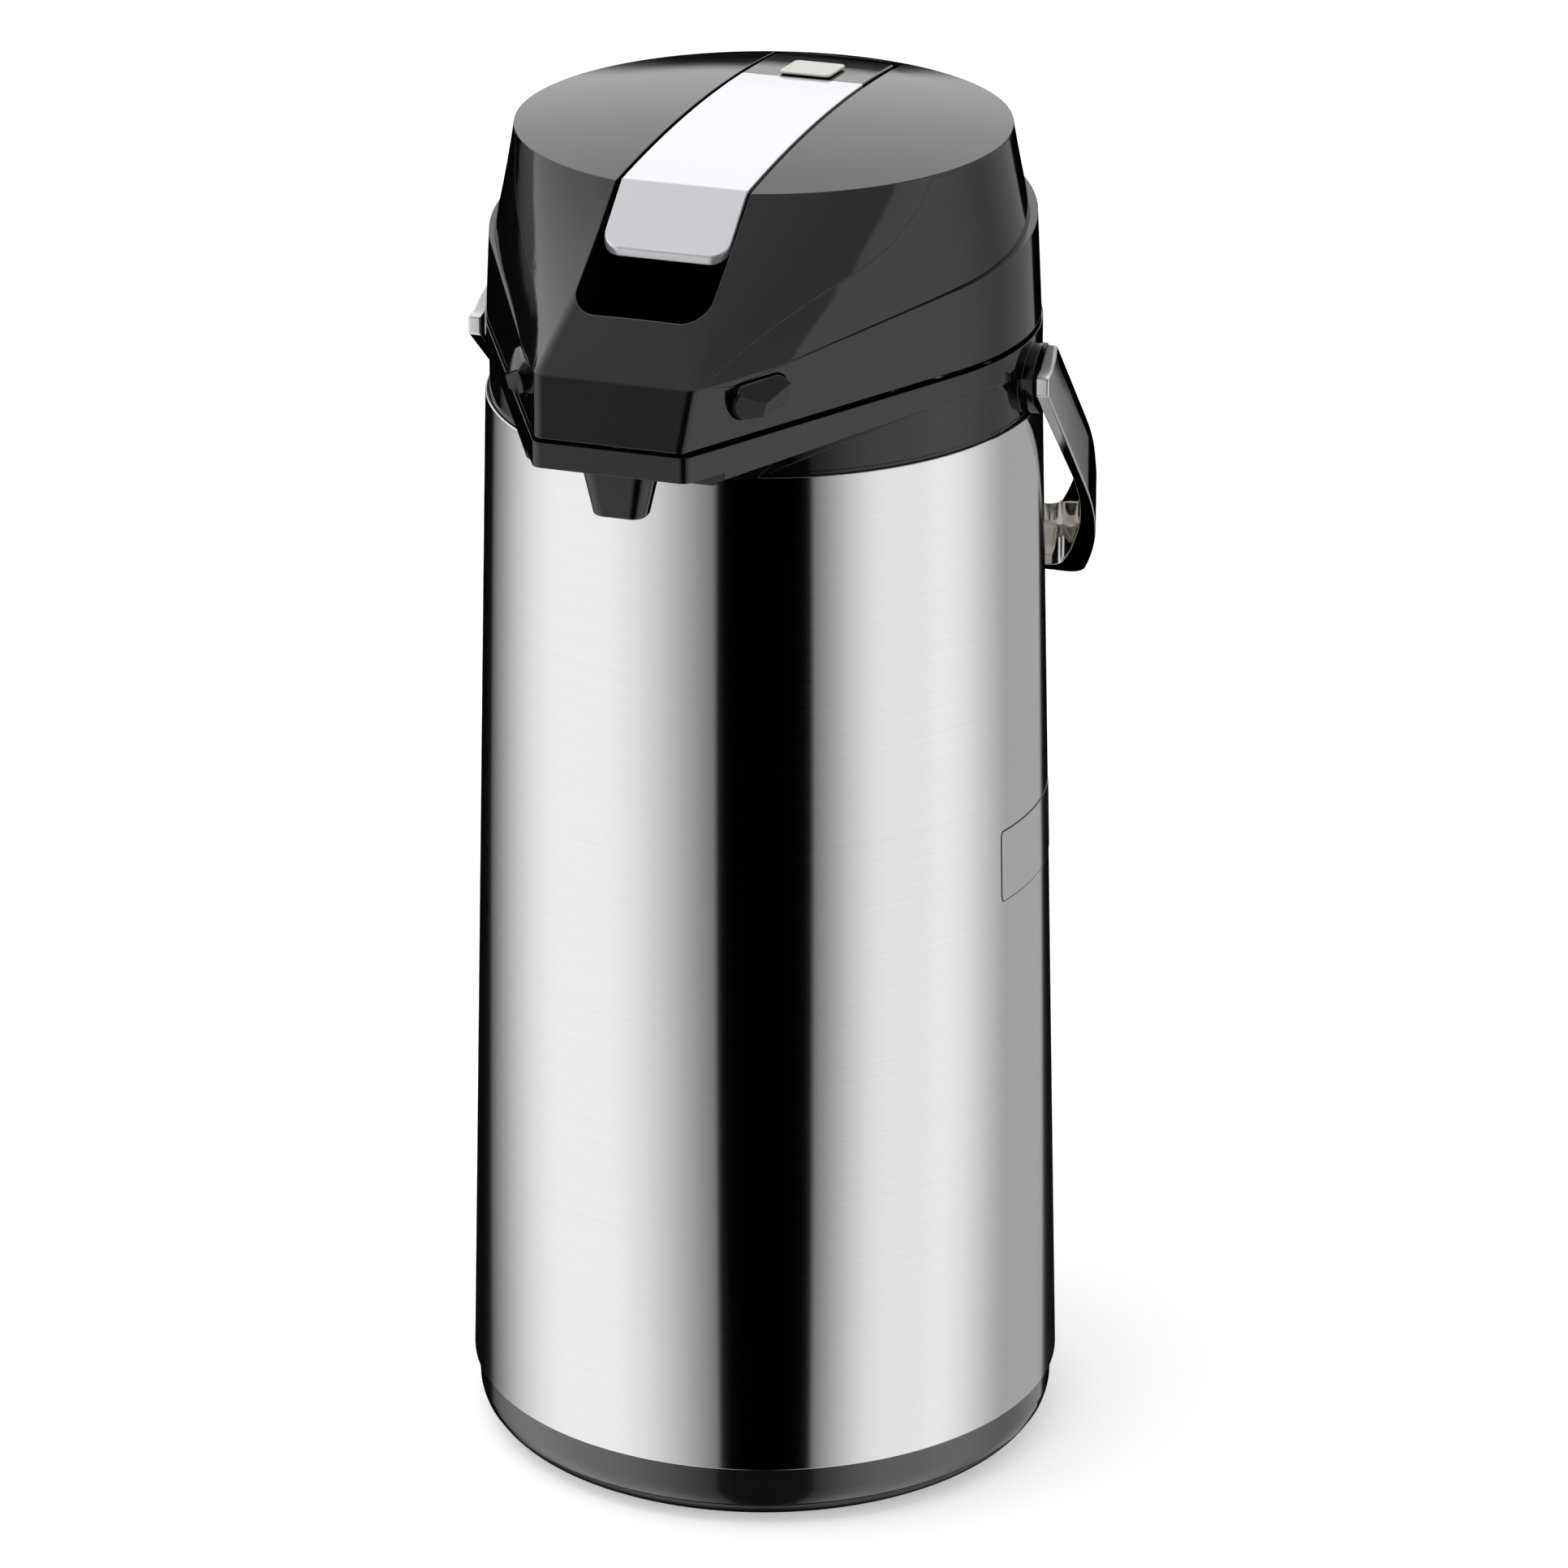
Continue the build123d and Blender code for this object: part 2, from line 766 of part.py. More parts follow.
def nozzle_taper(gap):
    """Outer shape of the spout nozzle, grown sideways by a gap."""
    with BuildPart() as taper:
        for height, half in ((nozzle_bottom_z, nozzle_bottom_half), (lip_z, nozzle_top_half)):
            corner = nozzle_corner_share * half[1]
            with BuildSketch(Plane.XY.offset(height)):
                with Locations((0, nozzle_y)):
                    RectangleRounded(2 * (half[0] + gap), 2 * (half[1] + gap), corner)
        loft(ruled=True)
    return taper.part


def beak_level(z, inset):
    """Collar outline at height z, its skin moved inwards by inset."""
    return (z, collar_r - inset, beak_reach - inset)


deck_top_z = deck_z + collar_deck_thick
tray_floor_z = lip_z + skirt_wall
over_tray_z = tray_floor_z + cut_near
latch_floor_z = skirt_z + skirt_wall
spigot_top_r = jacket_top_r - jacket_wall - collar_spigot_gap
latch_front_y = skirt_front_y + skirt_wall
latch_back_y = skirt_back_y - skirt_wall
ear_gap_half = knuckle_half_width + knuckle_gap
collar_shell = beak_prism(beak_level(deck_z, 0), beak_level(collar_top_z, 0))
collar_tray = beak_prism(
    beak_level(tray_floor_z, collar_wall), beak_level(collar_top_z + cut_near, collar_wall)
)
wedges = [underside_wedge(side) for side in (1, -1)]
under_lip = block((-side_limit_x, front_limit_y, low_limit_z), (side_limit_x, skirt_front_y, lip_z))
under_skirt = block(
    (-side_limit_x, skirt_front_y - cut_near, low_limit_z), (side_limit_x, skirt_back_y, skirt_z)
)
round_well = ring(collar_r - collar_wall, neck_ring_r, deck_top_z, over_tray_z)
ring_relief = ring(neck_ring_r + neck_ring_relief, 0, neck_ring_top_z, over_tray_z)
latch_well = block(
    (-latch_well_half, latch_front_y, latch_floor_z), (latch_well_half, latch_back_y, over_tray_z)
)
skirt_inside = beak_prism(beak_level(latch_floor_z, collar_wall), beak_level(over_tray_z, collar_wall))
under_ramp = side_region([
    (skirt_back_y - cut_near, skirt_z), (skirt_back_y, skirt_z), (-collar_r, deck_z),
    (skirt_back_y - cut_near, deck_z - cut_near),
])
spigot = ring(spigot_top_r, spigot_top_r - collar_spigot_wall, deck_z - collar_spigot, deck_z + cut_near)
neck_seat = ring(outer_neck_r, mouth_r, flask_top_z + gasket_thick, deck_z + cut_near)
boss_end_x = bail_inner_x - boss_r * tan(radians(bail_inner_toe_deg)) - bail_side_gap
boss_rod = cross_rod(boss_r, bail_pivot_y, bail_pivot_z, boss_end_x)
ear_rod = cross_rod(hinge_r, hinge_y, hinge_z, hinge_half_width)
ear_low = (-hinge_half_width, collar_r - hinge_ear_bite, collar_top_z - hinge_ear_drop)
ear_block = block(ear_low, (hinge_half_width, hinge_y, hinge_z))
ear_gap = block((-ear_gap_half, collar_r, low_limit_z), (ear_gap_half, back_limit_y, top_limit_z))
bail_pin_hole = cross_rod(bail_pin_r, bail_pivot_y, bail_pivot_z, side_limit_x)
hinge_pin_hole = cross_rod(hinge_pin_r, hinge_y, hinge_z, hinge_half_width + cut_near)
round_core = ring(collar_r - cut_near, 0, deck_z, collar_top_z)
mouth_hole = ring(mouth_r, 0, low_limit_z, top_limit_z)
trough = pipe_trough()
nozzle_notch = nozzle_taper(pin_gap)

with BuildPart() as latch_pocket:
    add(latch_well)
    add(skirt_inside, mode=Mode.INTERSECT)
with BuildPart() as collar:
    add(collar_shell)
    for wedge in wedges:
        add(wedge, mode=Mode.SUBTRACT)
    add(under_lip, mode=Mode.SUBTRACT)
    add(under_skirt, mode=Mode.SUBTRACT)
    add(under_ramp, mode=Mode.SUBTRACT)
    add(boss_rod)
    add(round_core)
    add(ear_block)
    add(ear_rod)
    add(ear_gap, mode=Mode.SUBTRACT)
    add(collar_tray, mode=Mode.SUBTRACT)
    add(round_well, mode=Mode.SUBTRACT)
    add(latch_pocket.part, mode=Mode.SUBTRACT)
    add(ring_relief, mode=Mode.SUBTRACT)
    add(spigot)
    add(neck_seat)
    add(mouth_hole, mode=Mode.SUBTRACT)
    add(trough, mode=Mode.SUBTRACT)
    add(nozzle_notch, mode=Mode.SUBTRACT)
    add(bail_pin_hole, mode=Mode.SUBTRACT)
    add(hinge_pin_hole, mode=Mode.SUBTRACT)
save(collar, "collar")

with BuildPart() as hinge_pin:
    with BuildSketch(Plane.YZ):
        with Locations((hinge_y, hinge_z)):
            Circle(hinge_pin_r - pin_gap)
    extrude(amount=hinge_half_width, both=True)
save(hinge_pin, "hinge_pin")

# ---------------------------------------------------------------- drink path
with BuildPart() as spout_pipe:
    pipe_line = pipe_path()
    with BuildSketch(Plane(origin=pipe_line @ 0, z_dir=pipe_line % 0)):
        Circle(pipe_r)
        Circle(pipe_r - pipe_wall, mode=Mode.SUBTRACT)
    sweep(path=pipe_line)
save(spout_pipe, "spout_pipe")

elbow_low_z = flask_top_z - tube_stop - tube_seat
with BuildPart() as riser_tube:
    with BuildSketch(Plane.XY.offset(tube_bottom_z)):
        with Locations((0, tube_y)):
            Circle(tube_r)
            Circle(tube_r - tube_wall, mode=Mode.SUBTRACT)
    extrude(amount=elbow_low_z + tube_seat - tube_bottom_z)
save(riser_tube, "riser_tube")

with BuildPart() as tube_elbow:
    with BuildSketch(Plane.XY.offset(elbow_low_z)):
        with Locations((0, tube_y)):
            Circle(tube_r + elbow_wall)
    extrude(amount=pipe_low_z + pipe_r + elbow_wall - elbow_low_z)
    with BuildSketch(Plane.XZ.offset(-tube_y)):
        with Locations((0, pipe_low_z)):
            Circle(pipe_r + elbow_arm_wall)
    extrude(amount=tube_r + elbow_reach)
    with BuildSketch(Plane.XY.offset(elbow_low_z)):
        with Locations((0, tube_y)):
            Circle(tube_r + pin_gap)
    extrude(amount=tube_seat, mode=Mode.SUBTRACT)
    with BuildSketch(Plane.XY.offset(elbow_low_z + cut_near)):
        with Locations((0, tube_y)):
            Circle(tube_r - tube_wall)
    extrude(amount=pipe_low_z - elbow_low_z - cut_near, mode=Mode.SUBTRACT)
    with BuildSketch(Plane.XZ.offset(-tube_y)):
        with Locations((0, pipe_low_z)):
            Circle(pipe_r - pipe_wall)
    extrude(amount=tube_r + elbow_reach + cut_near, mode=Mode.SUBTRACT)
    with BuildSketch(Plane.XZ.offset(-tube_y + tube_r)):
        with Locations((0, pipe_low_z)):
            Circle(pipe_r + pipe_seat_gap)
    extrude(amount=elbow_reach + cut_near, mode=Mode.SUBTRACT)
save(tube_elbow, "tube_elbow")

nozzle_body = nozzle_taper(0)
with BuildPart() as nozzle:
    add(nozzle_body)
    with BuildSketch(Plane.XY.offset(nozzle_bottom_z)):
        with Locations((0, nozzle_y)):
            SlotOverall(2 * nozzle_bore_half[0], 2 * nozzle_bore_half[1])
    extrude(amount=lip_z - nozzle_neck - nozzle_bottom_z, mode=Mode.SUBTRACT)
    with BuildSketch(Plane.XY.offset(lip_z)):
        with Locations((0, nozzle_y)):
            Circle(pipe_r + pipe_seat_gap)
    extrude(amount=-nozzle_neck, mode=Mode.SUBTRACT)
    fillet(nozzle.faces().sort_by(Axis.Z)[0].outer_wire().edges(), radius=nozzle_edge_r)
save(nozzle, "nozzle")

# ---------------------------------------------------------------- pins of the bail handle
pin_inner_x = neck_ring_r + 2 * boss_r
pin_outer_x = bail_outer_x - bail_pin_recess
for side, name in ((-1, "left"), (1, "right")):
    with BuildPart() as bail_pin:
        with BuildSketch(Plane.YZ.offset(side * pin_inner_x)):
            with Locations((bail_pivot_y, bail_pivot_z)):
                Circle(bail_pin_r - pin_gap)
        extrude(amount=side * (pin_outer_x - pin_inner_x))
    save(bail_pin, f"bail_pin_{name}")


# ---------------------------------------------------------------- lid: shapes shared by its pieces
def band_level(z, inset):
    """Band outline at height z, its skin moved inwards by inset."""
    share = (z - lid_bottom_z) / (band_top_z - lid_bottom_z)
    radius = band_bottom_r + share * (band_top_r - band_bottom_r)
    reach = band_reach_bottom + share * (band_reach_top - band_reach_bottom)
    return (z, radius - inset, reach - inset)


def slot_prism(grow, low, high):
    """Upright prism over the lever slot, grown sideways and forwards, from low to high."""
    half = lever_half_width + lever_side_gap + grow
    front_y = slot_front_y - grow
    with BuildPart() as prism:
        with BuildSketch(Plane.XY.offset(low)) as plan:
            with Locations((0, (front_y + slot_rear_y) / 2)):
                Rectangle(2 * half, slot_rear_y - front_y)
            fillet(plan.vertices().group_by(Axis.Y)[0], radius=slot_corner_r)
        extrude(amount=high - low)
    return prism.part


def flank_point(side, along, depth):
    """Point in plan seen from the button's centre: along the flank to the back, and inwards."""
    x = button_x + along * cos(flank_turn) - depth * sin(flank_turn)
    return (side * x, button_y + along * sin(flank_turn) + depth * cos(flank_turn))


def flank_plane(side, depth):
    """Upright plane on the flank through the button's centre, moved inwards by depth, facing outwards."""
    x, y = flank_point(side, 0, depth)
    across = (side * cos(flank_turn), sin(flank_turn), 0)
    outward = (side * sin(flank_turn), -cos(flank_turn), 0)
    return Plane(origin=(x, y, button_z), x_dir=across, z_dir=outward)


def obround(side, depth, length, height, thick):
    """Obround slab on the flank, from depth inwards over its thickness."""
    with BuildPart() as slab:
        with BuildSketch(flank_plane(side, depth)):
            SlotOverall(length, height)
        extrude(amount=-thick)
    return slab.part


def latch_block(side, gap, low, high, travel):
    """Upright block of the latch foot, grown by a gap, and by the button's travel inwards."""
    depth = lid_wall + button_flange_gap + button_flange + (latch_thick + travel) / 2
    x, y = flank_point(side, -latch_shift, depth)
    across = (side * cos(flank_turn), sin(flank_turn), 0)
    with BuildPart() as foot_block:
        with BuildSketch(Plane(origin=(x, y, low), x_dir=across, z_dir=(0, 0, 1))):
            Rectangle(latch_width + 2 * gap, latch_thick + travel + 2 * gap)
        extrude(amount=high - low)
    return foot_block.part


def post(place, radius, low, high):
    """Upright round post."""
    with BuildPart() as column:
        with BuildSketch(Plane.XY.offset(low)):
            with Locations(place):
                Circle(radius)
        extrude(amount=high - low)
    return column.part


button_level = band_level(button_z, 0)
button_x = (button_level[1] + button_y * cos(flank_turn)) / sin(flank_turn)
plate_low_z = lid_bottom_z + plate_lift
plate_top_z = plate_low_z + plate_thick
post_ring_r = band_bottom_r - lid_wall - post_r + post_bite
post_places = [(turn * post_front_x, post_front - band_reach_bottom) for turn in (-1, 1)]
for post_deg in post_degs:
    across, forward = on_circle(post_ring_r, radians(post_deg))
    post_places += [(-across, forward), (across, forward)]
band_outer = beak_prism(band_level(lid_bottom_z, 0), band_level(band_top_z, 0))
band_hollow = beak_prism(
    band_level(lid_bottom_z - cut_near, lid_wall), band_level(band_top_z + cut_near, lid_wall)
)
under_step = below(step_line())
over_step = above(step_line())
knuckle_rod = cross_rod(hinge_r, hinge_y, hinge_z, knuckle_half_width)
knuckle_low = (-knuckle_half_width, band_bottom_r - lid_wall, lid_bottom_z)
knuckle_block = block(knuckle_low, (knuckle_half_width, hinge_y, hinge_z + hinge_r))
hinge_clearance = cross_rod(hinge_pin_r + pin_gap, hinge_y, hinge_z, hinge_half_width)
band_posts = [post(place, post_r, plate_top_z, plate_top_z + post_height) for place in post_places]
screw_top_z = plate_top_z + post_height - cut_near
post_holes = [post(place, screw_r, plate_top_z, screw_top_z) for place in post_places]
hole_depth = button_proud + lid_wall + cut_near
button_holes = [
    obround(side, -button_proud, button_length, button_height, hole_depth + button_proud) for side in (-1, 1)
]

# ---------------------------------------------------------------- lid: lower band
with BuildPart() as lid_band:
    add(band_outer)
    add(band_hollow, mode=Mode.SUBTRACT)
    for solid in band_posts:
        add(solid)
    add(band_outer, mode=Mode.INTERSECT)
    add(under_step, mode=Mode.INTERSECT)
    for solid in button_holes + post_holes:
        add(solid, mode=Mode.SUBTRACT)
    add(knuckle_block)
    add(knuckle_rod)
    add(hinge_clearance, mode=Mode.SUBTRACT)
save(lid_band, "lid_band")

# ---------------------------------------------------------------- lid: side wall of the cover
cover_outer = cover_solid(0)
cover_hollow = cover_solid(lid_wall)
under_parting = below(parting_line())
over_parting = above(parting_line())
cap_disc = ring(rim_r - lid_wall, 0, rim_z - cap_depth, dome_top_z + cut_near)
rear_notch = slot_prism(0, rim_z - notch_depth, dome_top_z + cut_near)
with BuildPart() as lid_side:
    add(cover_outer)
    add(cover_hollow, mode=Mode.SUBTRACT)
    add(over_step, mode=Mode.INTERSECT)
    add(under_parting, mode=Mode.INTERSECT)
    add(cap_disc, mode=Mode.SUBTRACT)
    add(rear_notch, mode=Mode.SUBTRACT)
save(lid_side, "lid_side")

# ---------------------------------------------------------------- lid: visor, dome and the lever's channel
well_low_z = well_floor_z - well_wall
channel_front_y = slot_front_y - well_wall - cut_near
channel_bend_y = well_back_y + well_wall
channel_rear_y = pivot_y + ear_length / 2
over_dome_z = dome_top_z + cut_near
channel_region = side_region([
    (channel_front_y, well_low_z), (channel_bend_y, well_low_z), (channel_bend_y, channel_low_z),
    (channel_rear_y, channel_low_z), (channel_rear_y, over_dome_z), (channel_front_y, over_dome_z),
])
slot_region = side_region([
    (slot_front_y - cut_near, well_floor_z), (well_back_y, well_floor_z), (well_back_y, well_back_z),
    (slot_rear_y + cut_near, well_back_z), (slot_rear_y + cut_near, top_limit_z),
    (slot_front_y - cut_near, top_limit_z),
])
channel_walls = slot_prism(well_wall, well_low_z, over_dome_z)
pivot_ear_low = (-slot_half - ear_thick, pivot_y - ear_length / 2, channel_low_z)
pivot_ears = block(pivot_ear_low, (slot_half + ear_thick, channel_rear_y, over_dome_z))
inner_fill = cover_solid(lid_wall - wall_bite)
slot_cut = slot_prism(0, well_floor_z, top_limit_z)
lever_pin_hole = cross_rod(lever_pin_r, pivot_y, pivot_z, slot_half + ear_thick + cut_near)
with BuildPart() as channel:
    add(channel_walls)
    add(pivot_ears)
    add(channel_region, mode=Mode.INTERSECT)
    add(inner_fill, mode=Mode.INTERSECT)
with BuildPart() as slot:
    add(slot_cut)
    add(slot_region, mode=Mode.INTERSECT)
with BuildPart() as top_region:
    add(over_parting)
    add(cap_disc)
    add(over_step, mode=Mode.INTERSECT)
with BuildPart() as lid_top:
    add(cover_outer)
    add(cover_hollow, mode=Mode.SUBTRACT)
    add(top_region.part, mode=Mode.INTERSECT)
    add(channel.part)
    add(slot.part, mode=Mode.SUBTRACT)
    add(lever_pin_hole, mode=Mode.SUBTRACT)
save(lid_top, "lid_top")

with BuildPart() as lever_pin:
    with BuildSketch(Plane.YZ):
        with Locations((pivot_y, pivot_z)):
            Circle(lever_pin_r - pin_gap)
    extrude(amount=slot_half + ear_thick, both=True)
save(lever_pin, "lever_pin")

# ---------------------------------------------------------------- lid: plate, plug, seal and screws
plate_low = band_level(plate_low_z, lid_wall + pin_gap)
plate_high = band_level(plate_top_z, lid_wall + pin_gap)
plate_slab = beak_prism(plate_low, plate_high)
seal_low_z = neck_ring_top_z + seal_gap
plug_ring = ring(plug_r, plug_r - plug_wall, seal_low_z + seal_thick, plate_low_z)
air_hole = post((0, 0), air_hole_r, plate_low_z, plate_top_z)
latch_slots = [
    latch_block(side, latch_slot_gap, plate_low_z, plate_top_z, button_travel) for side in (-1, 1)
]
plate_holes = [post(place, screw_r + screw_gap, plate_low_z, plate_top_z) for place in post_places]
with BuildPart() as lid_plate:
    add(plate_slab)
    add(plug_ring)
    for solid in latch_slots + plate_holes:
        add(solid, mode=Mode.SUBTRACT)
    add(air_hole, mode=Mode.SUBTRACT)
save(lid_plate, "lid_plate")

with BuildPart() as lid_seal:
    with BuildSketch(Plane.XY.offset(seal_low_z)):
        Circle(plug_r)
        Circle(plug_r - seal_width, mode=Mode.SUBTRACT)
    extrude(amount=seal_thick)
save(lid_seal, "lid_seal")

with BuildPart() as lid_screws:
    with BuildSketch(Plane.XY.offset(plate_low_z)):
        with Locations(*post_places):
            Circle(screw_head_r)
    extrude(amount=-screw_head)
    with BuildSketch(Plane.XY.offset(plate_low_z)):
        with Locations(*post_places):
            Circle(screw_r - pin_gap)
    extrude(amount=screw_top_z - cut_near - plate_low_z)
save(lid_screws, "lid_screws")

# ---------------------------------------------------------------- lid: bellows pump
with BuildPart() as bellows:
    with BuildSketch(Plane.XZ):
        with BuildLine():
            fold = (bellows_top_z - plate_top_z) / (2 * bellows_folds)
            steps = range(2 * bellows_folds + 1)
            outer_line = [(bellows_r - fold_in * (step % 2), plate_top_z + step * fold) for step in steps]
            inner_line = [(x - bellows_wall, z) for x, z in outer_line]
            top_line = [(0, bellows_top_z), (0, bellows_top_z - bellows_wall)]
            inner_top = (inner_line[-1][0] - fold_in * bellows_wall / fold, bellows_top_z - bellows_wall)
            Polyline(*outer_line, *top_line, inner_top, *inner_line[-2::-1], outer_line[0])
        make_face()
    revolve(axis=Axis.Z)
save(bellows, "bellows")

with BuildPart() as bellows_spring:
    spring_height = bellows_top_z - bellows_wall - plate_top_z - 2 * spring_wire_r
    with BuildLine(Plane.XY.offset(plate_top_z + spring_wire_r)):
        spring_line = Helix(pitch=spring_height / spring_turns, height=spring_height, radius=spring_r)
    with BuildSketch(Plane(origin=spring_line @ 0, z_dir=spring_line % 0)):
        Circle(spring_wire_r)
    sweep(path=spring_line)
save(bellows_spring, "bellows_spring")

nose_low_z = pivot_z - nose_drop
with BuildPart() as pusher:
    with BuildSketch(Plane.XY.offset(bellows_top_z)):
        Circle(bellows_r)
    extrude(amount=pusher_thick)
    with BuildSketch(Plane.XY.offset(bellows_top_z)):
        Circle(nose_half_width + pusher_nose_margin)
    extrude(amount=nose_low_z - pusher_gap - bellows_top_z)
save(pusher, "pusher")


# ---------------------------------------------------------------- lever
def lever_layer(top, bottom, inset, rear_y):
    """Layer that follows the lever's skin from one depth to another, set in at tip and sides."""
    crease_z = dome_z(lever_crease_y)
    lean = atan2(crease_z - lever_tip_z, lever_crease_y - lever_tip_y)
    rows = []
    for depth in (top, bottom):
        tip_y = lever_tip_y + depth * sin(lean) + inset * cos(lean)
        tip = (tip_y, lever_tip_z - depth * cos(lean) + inset * sin(lean))
        crease_y = lever_crease_y + depth * tan(lean / 2)
        crease = (crease_y, dome_z(crease_y) - depth)
        rows.append((tip, crease, (0, dome_top_z - depth), (rear_y, dome_z(rear_y) - depth)))
    upper, lower = rows
    with BuildPart() as layer:
        with BuildSketch(Plane.YZ):
            with BuildLine():
                Line(upper[0], upper[1])
                ThreePointArc(upper[1], upper[2], upper[3])
                Line(upper[3], lower[3])
                ThreePointArc(lower[3], lower[2], lower[1])
                Polyline(lower[1], lower[0], upper[0])
            make_face()
        extrude(amount=lever_half_width - inset, both=True)
    return layer.part


def lock_prism(length, width, low, high, travel):
    """Prism square to the lever's skin at the lock, stretched to the back by a travel."""
    with BuildPart() as prism:
        with BuildSketch(lock_plane.offset(low)):
            with Locations((0, travel / 2)):
                RectangleRounded(width, length + travel, lock_corner_r)
        extrude(amount=high - low)
    return prism.part


lock_lean = lock_y / dome_r
lock_normal = (0, sin(lock_lean), cos(lock_lean))
lock_plane = Plane(origin=(0, lock_y, dome_z(lock_y)), x_dir=(1, 0, 0), z_dir=lock_normal)
stem_hole = lock_stem + 2 * lock_side_gap
lever_strip = lever_layer(0, lever_thick, 0, lever_rear_y)
lock_hole_low = -(lever_thick + frame_depth + frame_plate)
lock_hole = lock_prism(stem_hole, stem_hole, lock_hole_low, lock_proud, lock_travel)
with BuildPart() as lever:
    add(lever_strip)
    for end in (0, -1):
        corners = lever.faces().sort_by(Axis.Y)[end].edges().filter_by(Axis.X, reverse=True)
        fillet(corners, radius=lever_corner_r)
    add(lock_hole, mode=Mode.SUBTRACT)
save(lever, "lever")

frame_bottom = lever_thick + frame_depth
frame_shell = lever_layer(lever_thick, frame_bottom, frame_inset, frame_rear_y)
pocket_inset = frame_inset + frame_wall
pocket_rear_y = frame_rear_y - frame_wall
frame_pocket = lever_layer(lever_thick + frame_plate, frame_bottom + cut_near, pocket_inset, pocket_rear_y)
frame_half = lever_half_width - frame_inset
nose_z = nose_low_z + nose_r
nose_rod = cross_rod(nose_r, 0, nose_z, nose_half_width)
nose_top_z = dome_top_z - frame_bottom + frame_plate
nose_rib = block((-nose_half_width, -nose_r, nose_z), (nose_half_width, nose_r, nose_top_z))
pivot_rod = cross_rod(pivot_boss_r, pivot_y, pivot_z, frame_half)
frame_under_z = dome_z(frame_rear_y) - frame_bottom
pivot_low = (-frame_half, pivot_y - pivot_boss_r, pivot_z)
pivot_cheeks = block(pivot_low, (frame_half, pivot_y + pivot_boss_r, frame_under_z + cut_near))
hollow_half = frame_half - frame_wall
hollow_r = pivot_boss_r + cut_near
pivot_hollow = block(
    (-hollow_half, pivot_y - hollow_r, pivot_z - hollow_r), (hollow_half, pivot_y + hollow_r, frame_under_z),
)
pivot_hole = cross_rod(lever_pin_r + pin_gap, pivot_y, pivot_z, slot_half)
with BuildPart() as lever_frame:
    add(frame_shell)
    add(frame_pocket, mode=Mode.SUBTRACT)
    add(nose_rib)
    add(nose_rod)
    add(pivot_cheeks)
    add(pivot_rod)
    add(pivot_hollow, mode=Mode.SUBTRACT)
    add(pivot_hole, mode=Mode.SUBTRACT)
    add(lock_hole, mode=Mode.SUBTRACT)
save(lever_frame, "lever_frame")

# ---------------------------------------------------------------- lock slide
lock_foot_top = -(lever_thick + frame_plate + lock_gap)
lock_cap = lock_prism(lock_size, lock_size, lock_gap, lock_gap + lock_proud, 0)
lock_neck = lock_prism(lock_stem, lock_stem, lock_foot_top, lock_gap, 0)
lock_foot_pad = lock_prism(lock_foot, lock_foot, lock_foot_top - lock_foot_thick, lock_foot_top, 0)
with BuildPart() as lock_slide:
    add(lock_cap)
    add(lock_neck)
    add(lock_foot_pad)
save(lock_slide, "lock_slide")

# ---------------------------------------------------------------- release buttons and latches
flange_depth = lid_wall + button_flange_gap
stem_size = (button_length - 2 * button_gap, button_height - 2 * button_gap)
flange_size = (button_length + button_flange_length, button_height + button_flange_height)
for side, name in ((-1, "left"), (1, "right")):
    button_stem = obround(side, -button_proud, *stem_size, button_proud + flange_depth)
    button_back = obround(side, flange_depth, *flange_size, button_flange)
    with BuildPart() as button:
        add(button_stem)
        add(button_back)
    save(button, f"button_{name}")

    latch_solid = latch_block(side, 0, latch_foot_z, latch_top_z, 0)
    with BuildPart() as latch:
        add(latch_solid)
    save(latch, f"latch_{name}")


# ---------------------------------------------------------------- bail handle and its grip
def bail_point(along, across):
    """Side view (y, z) of a point of the bail: along its arms from the pivot, and across their width."""
    return (
        bail_pivot_y + along * sin(hang) + across * cos(hang),
        bail_pivot_z - along * cos(hang) + across * sin(hang),
    )


def bail_outline(pivot_x, toe_deg, straight, bend_r, reach, high):
    """U shape of the bail laid flat: arms that toe in, a long bend, and a rounded bow at its reach."""
    toe = radians(toe_deg)
    arm_top = (pivot_x + high * tan(toe), -high)
    arm_end = (pivot_x - straight * tan(toe), straight)
    centre = (arm_end[0] - bend_r * cos(toe), arm_end[1] - bend_r * sin(toe))
    last = asin((reach - centre[1]) / bend_r)
    turns = ((toe + last) / 2, last)
    bend = [(centre[0] + bend_r * cos(turn), centre[1] + bend_r * sin(turn)) for turn in turns]
    with BuildSketch(bail_plane) as outline:
        with BuildLine():
            Line((-arm_top[0], arm_top[1]), arm_top)
            Line(arm_top, arm_end)
            ThreePointArc(arm_end, bend[0], bend[1])
            Line(bend[1], (-bend[1][0], bend[1][1]))
            ThreePointArc(*[(-x, y) for x, y in (bend[1], bend[0], arm_end)])
            Line((-arm_end[0], arm_end[1]), (-arm_top[0], arm_top[1]))
        make_face()
        fillet(outline.vertices().filter_by_position(Axis.Y, reach - 1, reach + 1), radius=bail_corner_r)
    return outline.sketch


